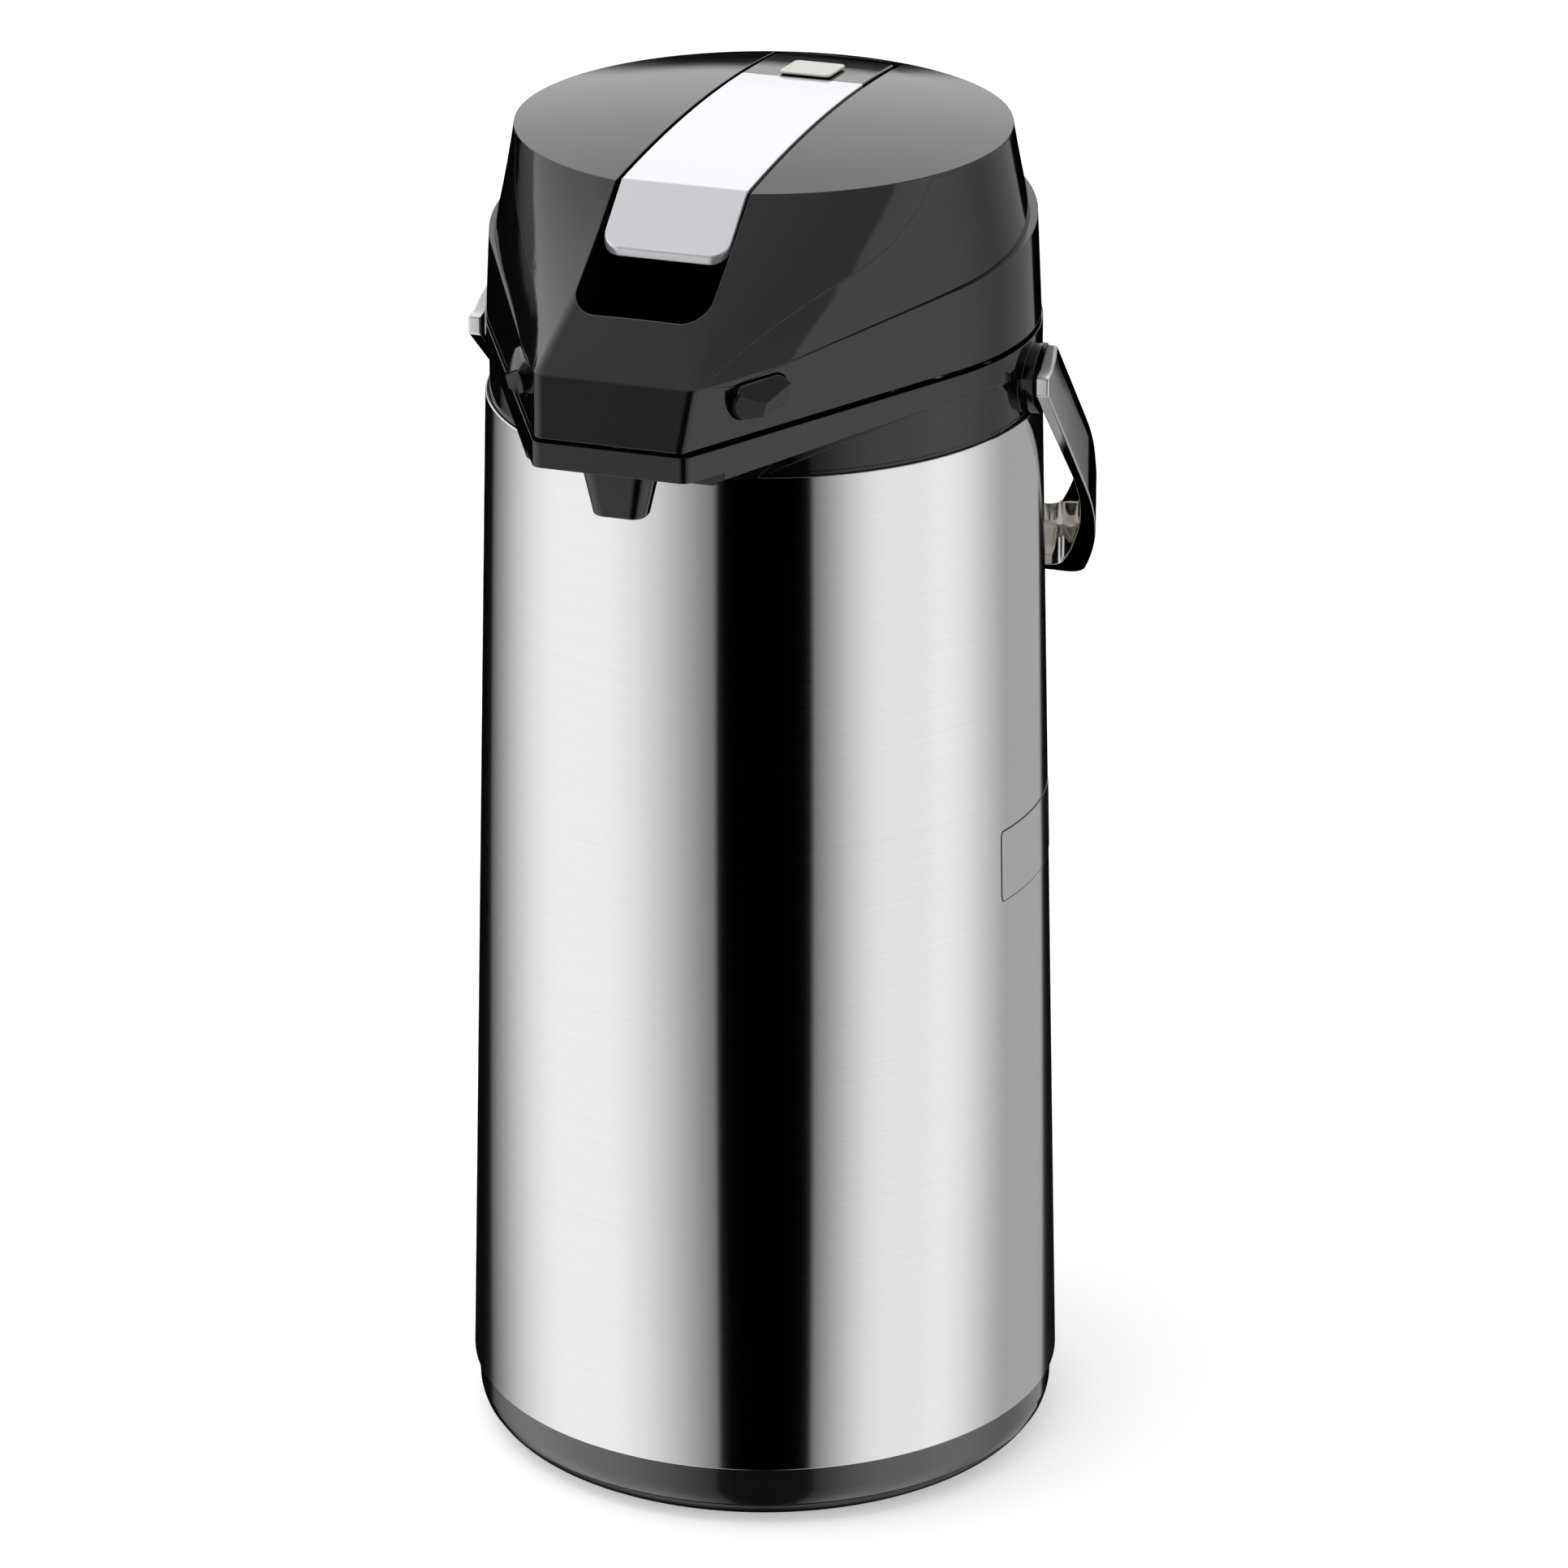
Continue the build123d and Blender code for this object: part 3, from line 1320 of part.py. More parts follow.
bail_plane = Plane(origin=(0, bail_pivot_y, bail_pivot_z), x_dir=(1, 0, 0), z_dir=(0, cos(hang), sin(hang)))
half_width = bail_width / 2
inner_reach = bail_reach - bail_bow
outer_face = bail_outline(bail_outer_x, bail_toe_deg, bail_straight, bail_bend_r, bail_reach, bail_width)
inner_face = bail_outline(
    bail_inner_x, bail_inner_toe_deg, bail_inner_straight, bail_inner_bend_r, inner_reach, 2 * bail_width
)
bail_low_z = bail_pivot_z - bail_reach - bail_width
bail_back_y = bail_pivot_y + bail_reach + bail_width
head_line = [(bail_pivot_y + across, bail_pivot_z + up) for across, up in bail_head]
head_region = side_region([
    (head_line[0][0], bail_low_z), *head_line, (bail_back_y, head_line[-1][1]), (bail_back_y, bail_low_z),
])
far_along = bail_reach + half_width
taper_across = half_width - bail_taper * (far_along - bail_straight) / (bail_reach - bail_straight)
taper_region = side_region([
    bail_point(bail_straight, half_width), bail_point(far_along, taper_across),
    bail_point(far_along, bail_width), bail_point(bail_straight, bail_width),
])
pot_clearance = ring(bail_clear_r, 0, bail_low_z, low_limit_z)
arm_pin_holes = cross_rod(bail_pin_r + pin_gap, bail_pivot_y, bail_pivot_z, pin_outer_x + screw_gap)
with BuildPart() as handle:
    add(outer_face)
    extrude(amount=half_width, both=True)
    add(inner_face)
    extrude(amount=bail_width, both=True, mode=Mode.SUBTRACT)
    add(head_region, mode=Mode.INTERSECT)
    add(taper_region, mode=Mode.SUBTRACT)
    add(pot_clearance, mode=Mode.SUBTRACT)
    add(arm_pin_holes, mode=Mode.SUBTRACT)
save(handle, "handle")

with BuildPart() as handle_grip:
    with BuildSketch(Plane.YZ):
        Polygon(*[bail_point(inner_reach - front, across) for front, across in grip_line], align=None)
    extrude(amount=grip_half_length, both=True)
    chamfer(handle_grip.faces().filter_by(Axis.X).edges().filter_by(Plane.YZ), length=grip_chamfer)
    add(inner_face)
    extrude(amount=bail_width, both=True, mode=Mode.INTERSECT)
save(handle_grip, "handle_grip")
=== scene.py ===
import json
from math import cos, hypot, pi, radians, sin

import bmesh
import bpy
from mathutils import Matrix, Vector

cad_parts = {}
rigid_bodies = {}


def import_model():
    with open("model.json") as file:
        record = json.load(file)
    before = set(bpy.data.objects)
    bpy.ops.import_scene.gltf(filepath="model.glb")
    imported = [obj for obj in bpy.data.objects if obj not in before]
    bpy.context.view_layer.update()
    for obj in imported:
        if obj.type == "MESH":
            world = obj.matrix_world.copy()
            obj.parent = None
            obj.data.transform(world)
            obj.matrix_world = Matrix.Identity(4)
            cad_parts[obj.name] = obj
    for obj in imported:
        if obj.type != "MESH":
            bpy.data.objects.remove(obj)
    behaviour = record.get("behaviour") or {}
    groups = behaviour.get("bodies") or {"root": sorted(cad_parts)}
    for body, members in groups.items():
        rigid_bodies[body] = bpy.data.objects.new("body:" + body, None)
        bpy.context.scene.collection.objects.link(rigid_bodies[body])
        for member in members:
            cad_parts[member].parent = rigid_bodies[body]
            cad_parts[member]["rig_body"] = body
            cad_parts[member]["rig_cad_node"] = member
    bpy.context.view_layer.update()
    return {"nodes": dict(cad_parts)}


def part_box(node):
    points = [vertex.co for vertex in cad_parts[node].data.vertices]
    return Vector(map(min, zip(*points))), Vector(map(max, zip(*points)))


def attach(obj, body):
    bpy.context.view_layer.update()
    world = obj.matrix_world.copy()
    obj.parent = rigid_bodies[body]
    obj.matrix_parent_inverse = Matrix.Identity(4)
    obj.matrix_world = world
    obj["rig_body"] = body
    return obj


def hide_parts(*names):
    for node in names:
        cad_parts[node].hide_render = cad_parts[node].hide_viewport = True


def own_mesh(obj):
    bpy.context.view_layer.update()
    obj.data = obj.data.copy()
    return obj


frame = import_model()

# ------------------------------------------------------------------ camera
# A long lens stands above the table, a little to the right of the spout, and looks down at the flask.
camera_place = (0.5575, -1.6123, 0.8717)
camera_tilt = radians(67.97)
camera_turn = radians(18.9)
camera_lens = 158.55
bpy.ops.object.select_all(action="DESELECT")
bpy.ops.object.camera_add(location=camera_place, rotation=(camera_tilt, 0, camera_turn))
camera = bpy.context.object
camera.data.lens = camera_lens
camera.data.sensor_width = 36
camera.data.clip_end = 20
bpy.context.scene.camera = camera
bpy.context.scene.view_settings.view_transform = "Standard"

# ------------------------------------------------------------------ studio room
# A plain pale room gives every matt surface an even light. Polished surfaces see its white walls, the soft
# boxes above them, and two black flags, one round the camera and one behind the flask, that draw the gloss.
def colour(code):
    """sRGB hex code to a linear colour with alpha 1."""
    parts = [int(code[i:i + 2], 16) / 255 for i in (0, 2, 4)]
    linear = [part / 12.92 if part <= 0.04045 else ((part + 0.055) / 1.055) ** 2.4 for part in parts]
    return (*linear, 1.0)


def add_node(tree, kind, links=(), **settings):
    """Adds one shader node, sets its fields and sockets by name, and links the sockets given in links."""
    node = tree.nodes.new(kind)
    for name, value in settings.items():
        if hasattr(node, name):
            setattr(node, name, value)
        else:
            socket = int(name[6:]) if name.startswith("socket") else name.replace("_", " ").title()
            node.inputs[socket].default_value = value
    for socket, source in links:
        tree.links.new(source, node.inputs[socket])
    return node


def panel(tree, compass, facing, width, edge, inside, outside):
    """Light by compass angle: one level across an upright panel, another past its soft edge, in degrees."""
    aside = add_node(tree, "ShaderNodeMath", [(0, compass)], operation="SUBTRACT", socket1=radians(facing))
    turned = add_node(
        tree, "ShaderNodeMath", [(0, aside.outputs[0])], operation="WRAP", socket1=pi, socket2=-pi,
    )
    away = add_node(tree, "ShaderNodeMath", [(0, turned.outputs[0])], operation="ABSOLUTE")
    fade = add_node(
        tree, "ShaderNodeMapRange", [(0, away.outputs[0])], interpolation_type="SMOOTHSTEP",
        socket1=radians(width / 2), socket2=radians(width / 2 + edge), socket3=inside, socket4=outside,
    )
    return fade.outputs[0]


def lit_band(tree, compass, panels, flags=()):
    """Light of one band of the room by compass angle: its panels together, less what the flags hide."""
    layers = [("ADD", panel(tree, compass, *row, 0.0)) for row in panels]
    layers += [("MULTIPLY", panel(tree, compass, *row, 0.0, 1.0)) for row in flags]
    light = layers[0][1]
    for operation, layer in layers[1:]:
        light = add_node(tree, "ShaderNodeMath", [(0, light), (1, layer)], operation=operation).outputs[0]
    return light


# Each stands at a compass angle from the front of the flask, positive to its right.
# The numbers are angle, width, soft edge and level.
left_wall = (-60, 20, 70, 1.1)
right_wall = (80, 20, 45, 1.0)
rear_right_wall = (150, 40, 50, 0.45)
left_soft_box = (-90, 30, 80, 1.3)
right_soft_box = (100, 80, 30, 0.5)
rear_soft_box = (180, 20, 45, 1.1)
# The flags are black and hide the walls behind them: angle, width, edge.
camera_flag = (19, 36, 2)
rear_flag = (-158, 62, 3)
# The soft boxes begin a little above the table's level, lower on the left, and give way to a plain ceiling.
overhead_level = 0.6
upper_start = 0.155
upper_full = 0.185
upper_tilt = -0.12
overhead_start = 0.7
overhead_full = 0.96
room_light = 0.66
bpy.context.scene.world = bpy.context.scene.world or bpy.data.worlds.new("studio")
world = bpy.context.scene.world
world.use_nodes = True
tree = world.node_tree
tree.nodes.clear()
direction = add_node(tree, "ShaderNodeTexCoord").outputs["Generated"]
split = add_node(tree, "ShaderNodeSeparateXYZ", [(0, direction)])
front = add_node(tree, "ShaderNodeMath", [(0, split.outputs[1])], operation="MULTIPLY", socket1=-1.0)
compass = add_node(
    tree, "ShaderNodeMath", [(0, split.outputs[0]), (1, front.outputs[0])], operation="ARCTAN2",
)
around = compass.outputs[0]
walls = lit_band(tree, around, (left_wall, right_wall, rear_right_wall), (camera_flag, rear_flag))
upper = lit_band(tree, around, (left_soft_box, right_soft_box, rear_soft_box))
zone = add_node(
    tree, "ShaderNodeMapRange", [(0, split.outputs[2])], socket1=overhead_start, socket2=overhead_full,
)
above = add_node(tree, "ShaderNodeMix", [("Factor", zone.outputs[0]), (2, upper)], socket3=overhead_level)
tilt = add_node(tree, "ShaderNodeMath", [(0, split.outputs[0])], operation="MULTIPLY", socket1=upper_tilt)
brink = add_node(tree, "ShaderNodeMath", [(0, split.outputs[2]), (1, tilt.outputs[0])], operation="ADD")
height = add_node(
    tree, "ShaderNodeMapRange", [(0, brink.outputs[0])], socket1=upper_start, socket2=upper_full,
)
room = add_node(tree, "ShaderNodeMix", [("Factor", height.outputs[0]), (2, walls), (3, above.outputs[0])])
rays = add_node(tree, "ShaderNodeLightPath")
even = add_node(
    tree, "ShaderNodeMix", [("Factor", rays.outputs["Is Diffuse Ray"]), (2, room.outputs[0])],
    socket3=room_light,
)
seen = add_node(
    tree, "ShaderNodeMix", [("Factor", rays.outputs["Is Camera Ray"]), (2, even.outputs[0])], socket3=1.0,
)
shine = add_node(tree, "ShaderNodeBackground", [("Color", seen.outputs[0])])
add_node(tree, "ShaderNodeOutputWorld", [(0, shine.outputs[0])])

# The floor is plain and white. It keeps the flask's shadow and lets polished surfaces see the room below.
floor_size = 12
floor_lift = 0.4
bpy.ops.mesh.primitive_plane_add(size=floor_size, location=(0, 0, 0))
floor = bpy.context.object
floor.name = "floor"
floor_paint = bpy.data.materials.new("white_floor")
floor_paint.use_nodes = True
tree = floor_paint.node_tree
tree.nodes.clear()
rays = add_node(tree, "ShaderNodeLightPath")
paint = add_node(tree, "ShaderNodeBsdfDiffuse", Color=colour("EEEEEE"))
lift = add_node(tree, "ShaderNodeEmission", Color=colour("FFFFFF"), Strength=floor_lift)
white = add_node(tree, "ShaderNodeAddShader", [(0, paint.outputs[0]), (1, lift.outputs[0])])
clear = add_node(tree, "ShaderNodeBsdfTransparent")
bare = add_node(
    tree, "ShaderNodeMixShader",
    [(0, rays.outputs["Is Camera Ray"]), (1, paint.outputs[0]), (2, white.outputs[0])],
)
open_floor = add_node(
    tree, "ShaderNodeMixShader",
    [(0, rays.outputs["Is Glossy Ray"]), (1, bare.outputs[0]), (2, clear.outputs[0])],
)
add_node(tree, "ShaderNodeOutputMaterial", [(0, open_floor.outputs[0])])
floor.data.materials.append(floor_paint)


def lamp(name, place, aim, size, power):
    """Square soft box at a place, turned to face a point."""
    bpy.ops.object.light_add(type="AREA", location=place)
    box = bpy.context.object
    box.name = name
    box.data.size = size
    box.data.energy = power
    box.rotation_euler = (Vector(aim) - Vector(place)).to_track_quat("-Z", "Y").to_euler()
    box.visible_glossy = False


middle = (0, 0, 0.2)
lamp("softbox_above", place=(-0.5, -0.5, 2.2), aim=middle, size=1.6, power=16)
lamp("softbox_left", place=(-1.8, -1.2, 1.0), aim=middle, size=1.2, power=6)

# ------------------------------------------------------------------ turning foot
# A shallow black ABS dish stands on a rubber pad, and the flask turns on it. It is moulded, with a fine satin
# grain on its rim, and the pad is glued into its underside.
mm = 0.001
nodes = frame["nodes"]


def start_material(name):
    """New node material; returns it with its tree and its Object coordinates."""
    made = bpy.data.materials.new(name)
    made.use_nodes = True
    made.node_tree.nodes.clear()
    place = add_node(made.node_tree, "ShaderNodeTexCoord").outputs["Object"]
    return made, made.node_tree, place


def close_material(tree, shader):
    """Links a shader to the material's output."""
    add_node(tree, "ShaderNodeOutputMaterial", [(0, shader.outputs[0])])


def paint_on(made, *names):
    """Gives a material to pieces that keep their own shape."""
    for name in names:
        nodes[name].data.materials.clear()
        nodes[name].data.materials.append(made)


grain_size = 0.4 * mm
grain_relief = 0.1 * mm
edge_radius = 0.35 * mm
foot_abs, tree, place = start_material("satin_black_abs")
# Satin black ABS: an even dark tone with a soft sheen. The grain of the mould is drawn coarse enough to show.
grain = add_node(tree, "ShaderNodeTexNoise", [("Vector", place)], Scale=1 / grain_size, Detail=3.0)
round_edge = add_node(tree, "ShaderNodeBevel", samples=6, Radius=edge_radius)
bump = add_node(
    tree, "ShaderNodeBump", [("Height", grain.outputs[0]), ("Normal", round_edge.outputs[0])],
    Strength=0.15, Distance=grain_relief,
)
dull = add_node(tree, "ShaderNodeMapRange", [(0, grain.outputs[0])], socket3=0.22, socket4=0.34)
shader = add_node(
    tree, "ShaderNodeBsdfPrincipled", [("Roughness", dull.outputs[0]), ("Normal", bump.outputs[0])],
    Base_Color=colour("0D0D0E"),
)
close_material(tree, shader)
paint_on(foot_abs, "foot")

rubber, tree, place = start_material("moulded_rubber")
# Black rubber: no shine, slightly greyed by the powder of the mould.
grain = add_node(tree, "ShaderNodeTexNoise", [("Vector", place)], Scale=1 / grain_size, Detail=4.0)
tone = add_node(
    tree, "ShaderNodeMix", [("Factor", grain.outputs[0])], data_type="RGBA", socket6=colour("141414"),
    socket7=colour("232323"),
)
bump = add_node(tree, "ShaderNodeBump", [("Height", grain.outputs[0])], Strength=0.3, Distance=grain_relief)
shader = add_node(
    tree, "ShaderNodeBsdfPrincipled", [("Base Color", tone.outputs[2]), ("Normal", bump.outputs[0])],
    Roughness=0.75,
)
close_material(tree, shader)
paint_on(rubber, "foot_pad")

# ------------------------------------------------------------------ swivel
# A white acetal ring slides between foot and base ring, and one zinc-plated screw with a wide washer holds
# the two together. They are hidden under the flask.
acetal_cloud = 3.3 * mm
natural_acetal, tree, place = start_material("natural_acetal")
# Acetal: milky white and waxy, with a faint cloudiness.
cloud = add_node(tree, "ShaderNodeTexNoise", [("Vector", place)], Scale=1 / acetal_cloud, Detail=2.0)
dull = add_node(tree, "ShaderNodeMapRange", [(0, cloud.outputs[0])], socket3=0.38, socket4=0.5)
shader = add_node(
    tree, "ShaderNodeBsdfPrincipled", [("Roughness", dull.outputs[0])], Base_Color=colour("E6E5E0"),
)
close_material(tree, shader)
paint_on(natural_acetal, "slip_ring")

zinc_spangle = 1.25 * mm
zinc_steel, tree, place = start_material("zinc_plated_steel")
# Bright zinc on drawn steel: light grey, slightly mottled, with a soft metal shine.
mottle = add_node(tree, "ShaderNodeTexNoise", [("Vector", place)], Scale=1 / zinc_spangle, Detail=3.0)
dull = add_node(tree, "ShaderNodeMapRange", [(0, mottle.outputs[0])], socket3=0.2, socket4=0.35)
shader = add_node(
    tree, "ShaderNodeBsdfPrincipled", [("Roughness", dull.outputs[0])],
    Base_Color=colour("B9BABC"), Metallic=1.0,
)
close_material(tree, shader)
paint_on(zinc_steel, "swivel_washer", "swivel_screw")

# ------------------------------------------------------------------ base ring
# The lower end of the steel sleeve sits in a dark grey ABS ring that curves in to the foot. Its polished
# flank is a lighter grey than the lid.
wave_relief = 0.4 * mm
ring_wave = 16.7 * mm
grey_abs, tree, place = start_material("polished_grey_abs")
# Grey ABS: deep and glossy, with the slow waviness of a large moulding.
waves = add_node(tree, "ShaderNodeTexNoise", [("Vector", place)], Scale=1 / ring_wave, Detail=2.0)
round_edge = add_node(tree, "ShaderNodeBevel", samples=6, Radius=edge_radius)
bump = add_node(
    tree, "ShaderNodeBump", [("Height", waves.outputs[0]), ("Normal", round_edge.outputs[0])],
    Strength=0.02, Distance=wave_relief,
)
dull = add_node(tree, "ShaderNodeMapRange", [(0, waves.outputs[0])], socket3=0.14, socket4=0.2)
shader = add_node(
    tree, "ShaderNodeBsdfPrincipled", [("Roughness", dull.outputs[0]), ("Normal", bump.outputs[0])],
    Base_Color=colour("161618"), Coat_Weight=1.0,
)
shader.inputs["IOR"].default_value = 1.6
close_material(tree, shader)
paint_on(grey_abs, "base_ring")

# ------------------------------------------------------------------ steel sleeve
# The outer jacket is stainless steel sheet rolled to a slight cone, welded at the back and brushed round its
# girth. Its two ends are turned in by a hair where they meet the plastic.
brush_pitch = 0.3 * mm
brush_length = 70 * mm
brushed_steel, tree, place = start_material("girth_brushed_stainless")
# Brushed stainless: reflections stay sharp round the girth and smear up and down. Real brush lines are finer
# than the eye can part, so they are drawn 0.3 mm apart.
along = add_node(
    tree, "ShaderNodeMapping", [("Vector", place)],
    Scale=(1 / brush_length, 1 / brush_length, 1 / brush_pitch),
)
streaks = add_node(
    tree, "ShaderNodeTexNoise", [("Vector", along.outputs[0])], Scale=1.0, Detail=6.0, Roughness=0.65,
)
tint = add_node(tree, "ShaderNodeMapRange", [(0, streaks.outputs[0])], socket1=0.25, socket2=0.75)
steel = add_node(
    tree, "ShaderNodeMix", [("Factor", tint.outputs[0])], data_type="RGBA", socket6=colour("DEDEDF"),
    socket7=colour("E6E6E7"),
)
dull = add_node(
    tree, "ShaderNodeMapRange", [(0, streaks.outputs[0])],
    socket1=0.25, socket2=0.75, socket3=0.11, socket4=0.15,
)
bump = add_node(
    tree, "ShaderNodeBump", [("Height", streaks.outputs[0])], Strength=0.02, Distance=grain_relief,
)
girth = add_node(tree, "ShaderNodeTangent", direction_type="RADIAL", axis="Z")
shader = add_node(
    tree, "ShaderNodeBsdfPrincipled",
    [("Base Color", steel.outputs[2]), ("Roughness", dull.outputs[0]), ("Normal", bump.outputs[0]),
     ("Tangent", girth.outputs[0])],
    Metallic=1.0, Anisotropic=0.9, Anisotropic_Rotation=0.25,
)
close_material(tree, shader)


def deselect_all():
    """Nothing is selected afterwards."""
    bpy.ops.object.select_all(action="DESELECT")


def finish_piece(piece, made, body, slot, *stands_for):
    """Gives a modelled piece its material and its body, and hides the model's pieces that it stands for; the
    slot is not used.
    """
    piece.data.materials.clear()
    piece.data.materials.append(made)
    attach(piece, body)
    if stands_for:
        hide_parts(*stands_for)


def use_modifier(piece, kind, **settings):
    """Adds one modifier with its settings and applies it."""
    bpy.context.view_layer.objects.active = piece
    modifier = piece.modifiers.new(kind.lower(), kind)
    for name, value in settings.items():
        setattr(modifier, name, value)
    bpy.ops.object.modifier_apply(modifier=modifier.name)


sleeve_low, sleeve_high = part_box("jacket")
sleeve_bottom_r = sleeve_high.x
sleeve_rim_z = sleeve_high.z - 0.1 * mm
sleeve_top_r = max(
    hypot(point.co.x, point.co.y) for point in nodes["jacket"].data.vertices if point.co.z > sleeve_rim_z
)
sleeve_wall = 0.8 * mm
sleeve_round = 0.3 * mm
sleeve_height = sleeve_high.z - sleeve_low.z
sleeve_facets = 256


def sleeve_shell(name, proud):
    """Open cone on the line of the sleeve, standing proud of it."""
    deselect_all()
    bpy.ops.mesh.primitive_cone_add(
        vertices=sleeve_facets, radius1=sleeve_bottom_r + proud, radius2=sleeve_top_r + proud,
        depth=sleeve_height, end_fill_type="NOTHING", location=(0, 0, sleeve_low.z + sleeve_height / 2),
    )
    shell = bpy.context.object
    shell.name = name
    bpy.ops.object.transform_apply(location=True, rotation=True, scale=True)
    return shell


sleeve = sleeve_shell("steel_sleeve", 0)
use_modifier(sleeve, "SOLIDIFY", thickness=sleeve_wall, offset=-1)
use_modifier(sleeve, "BEVEL", width=sleeve_round, segments=3, limit_method="ANGLE")
bpy.ops.object.shade_smooth_by_angle(angle=radians(30))
finish_piece(sleeve, brushed_steel, "pot", "brushed_steel_sleeve", "jacket")

# ------------------------------------------------------------------ badge
# A thin bare steel plate is bonded to the right flank of the sleeve. A dark sheet a little wider than the
# plate lies under it and draws a hairline round it: painted shade at the plate's edge. Plate and sheet follow
# the cone.
badge_turn = radians(90)
badge_half_turn = radians(16)
badge_low_z = 165.9 * mm
badge_high_z = 185.1 * mm
badge_corner = 2.2 * mm
level_slack = 0.01 * mm
side_slack = 0.5 * mm
film_edge = 0.35 * mm
film_proud = 0.06 * mm
film_thick = 0.1 * mm
plate_proud = 0.16 * mm
plate_thick = 0.14 * mm


def cut_along(planes, **settings):
    """Cuts the active piece along planes, each given as a point and a normal."""
    bpy.ops.object.mode_set(mode="EDIT")
    for place, normal in planes:
        bpy.ops.mesh.select_all(action="SELECT")
        bpy.ops.mesh.bisect(plane_co=place, plane_no=normal, **settings)
    bpy.ops.mesh.select_all(action="DESELECT")
    bpy.ops.object.mode_set(mode="OBJECT")


def badge_sheet(name, grow, proud, thick):
    """Rounded rectangle cut from the sleeve's cone, grown at its edges, with a thickness."""
    sheet = sleeve_shell(name, proud)
    half = badge_half_turn + grow / sleeve_bottom_r
    cuts = [
        ((0, 0, badge_high_z + grow), (0, 0, 1)), ((0, 0, badge_low_z - grow), (0, 0, -1)),
        ((0, 0, 0), (cos(badge_turn + half), sin(badge_turn + half), 0)),
        ((0, 0, 0), (-cos(badge_turn - half), -sin(badge_turn - half), 0)),
        ((0, 0, 0), (-sin(badge_turn), cos(badge_turn), 0)),
    ]
    cut_along(cuts, clear_outer=True)
    corner_low = min(point.co.z for point in sheet.data.vertices) + level_slack
    corner_high = max(point.co.z for point in sheet.data.vertices) - level_slack
    side_low = min(point.co.y for point in sheet.data.vertices) + side_slack
    side_high = max(point.co.y for point in sheet.data.vertices) - side_slack
    for point in sheet.data.vertices:
        on_level = point.co.z < corner_low or point.co.z > corner_high
        on_side = point.co.y < side_low or point.co.y > side_high
        point.select = on_level and on_side
    bpy.ops.object.mode_set(mode="EDIT")
    bpy.ops.mesh.bevel(offset=badge_corner + grow, segments=6, affect="VERTICES")
    bpy.ops.object.mode_set(mode="OBJECT")
    use_modifier(sheet, "SOLIDIFY", thickness=thick, offset=-1)
    bpy.ops.object.shade_smooth_by_angle(angle=radians(30))
    return sheet


film_cloud = 1.1 * mm
edge_shade_paint, tree, place = start_material("painted_edge_shade")
# Painted edge shade: a nearly black, slightly tacky looking sheet whose rim round the plate stands in for
# shade.
cloud = add_node(tree, "ShaderNodeTexNoise", [("Vector", place)], Scale=1 / film_cloud, Detail=2.0)
dull = add_node(tree, "ShaderNodeMapRange", [(0, cloud.outputs[0])], socket3=0.4, socket4=0.6)
shader = add_node(
    tree, "ShaderNodeBsdfPrincipled", [("Roughness", dull.outputs[0])], Base_Color=colour("26272A"),
)
close_material(tree, shader)
# The dark sheet reaches past the plate's edge all round as painted shade.
film = badge_sheet("badge_shade_sheet", film_edge, film_proud, film_thick)
finish_piece(film, edge_shade_paint, "pot", "brushed_steel_sleeve")
plate = badge_sheet("badge_plate", 0, plate_proud, plate_thick)
finish_piece(plate, brushed_steel, "pot", "brushed_steel_sleeve")

# ------------------------------------------------------------------ vacuum flask
# Two deep-drawn stainless bottles are welded at the neck with a vacuum between them. They rest on a rubber
# cushion in the base ring and are hidden by the sleeve.
draw_pitch = 1.1 * mm
draw_length = 100 * mm
drawn_steel, tree, place = start_material("drawn_stainless")
# Drawn stainless: a grey shine with faint draw marks up the wall.
along = add_node(
    tree, "ShaderNodeMapping", [("Vector", place)], Scale=(1 / draw_pitch, 1 / draw_pitch, 1 / draw_length),
)
marks = add_node(tree, "ShaderNodeTexNoise", [("Vector", along.outputs[0])], Scale=1.0, Detail=4.0)
dull = add_node(tree, "ShaderNodeMapRange", [(0, marks.outputs[0])], socket3=0.2, socket4=0.4)
shader = add_node(
    tree, "ShaderNodeBsdfPrincipled", [("Roughness", dull.outputs[0])],
    Base_Color=colour("CFCFD0"), Metallic=1.0,
)
close_material(tree, shader)
paint_on(drawn_steel, "flask_inner", "flask_outer")
paint_on(rubber, "flask_cushion")

# ------------------------------------------------------------------ neck gasket and drink path
# A silicone gasket seals collar to flask. The drink rises in a milky tube, turns in a black elbow and runs
# through a soft pipe to the spout, all clipped into each other.
silicone_cloud = 2 * mm
silicone, tree, place = start_material("milky_silicone")
# Silicone and tube plastic: milky, soft and slightly dull.
cloud = add_node(tree, "ShaderNodeTexNoise", [("Vector", place)], Scale=1 / silicone_cloud, Detail=2.0)
bump = add_node(tree, "ShaderNodeBump", [("Height", cloud.outputs[0])], Strength=0.1, Distance=grain_relief)
shader = add_node(
    tree, "ShaderNodeBsdfPrincipled", [("Normal", bump.outputs[0])],
    Base_Color=colour("CFCFCB"), Roughness=0.4,
)
close_material(tree, shader)
paint_on(silicone, "neck_gasket", "riser_tube", "spout_pipe")

# ------------------------------------------------------------------ collar, elbow, nozzle and hinge pin
# The collar closes the sleeve and reaches forward as the lower half of the beak. It is injection-moulded
# black ABS from a polished tool, and the tapered nozzle hangs under its front edge.
haze_size = 33.3 * mm
wave_size = 22.2 * mm
gloss_abs, tree, place = start_material("gloss_black_abs")
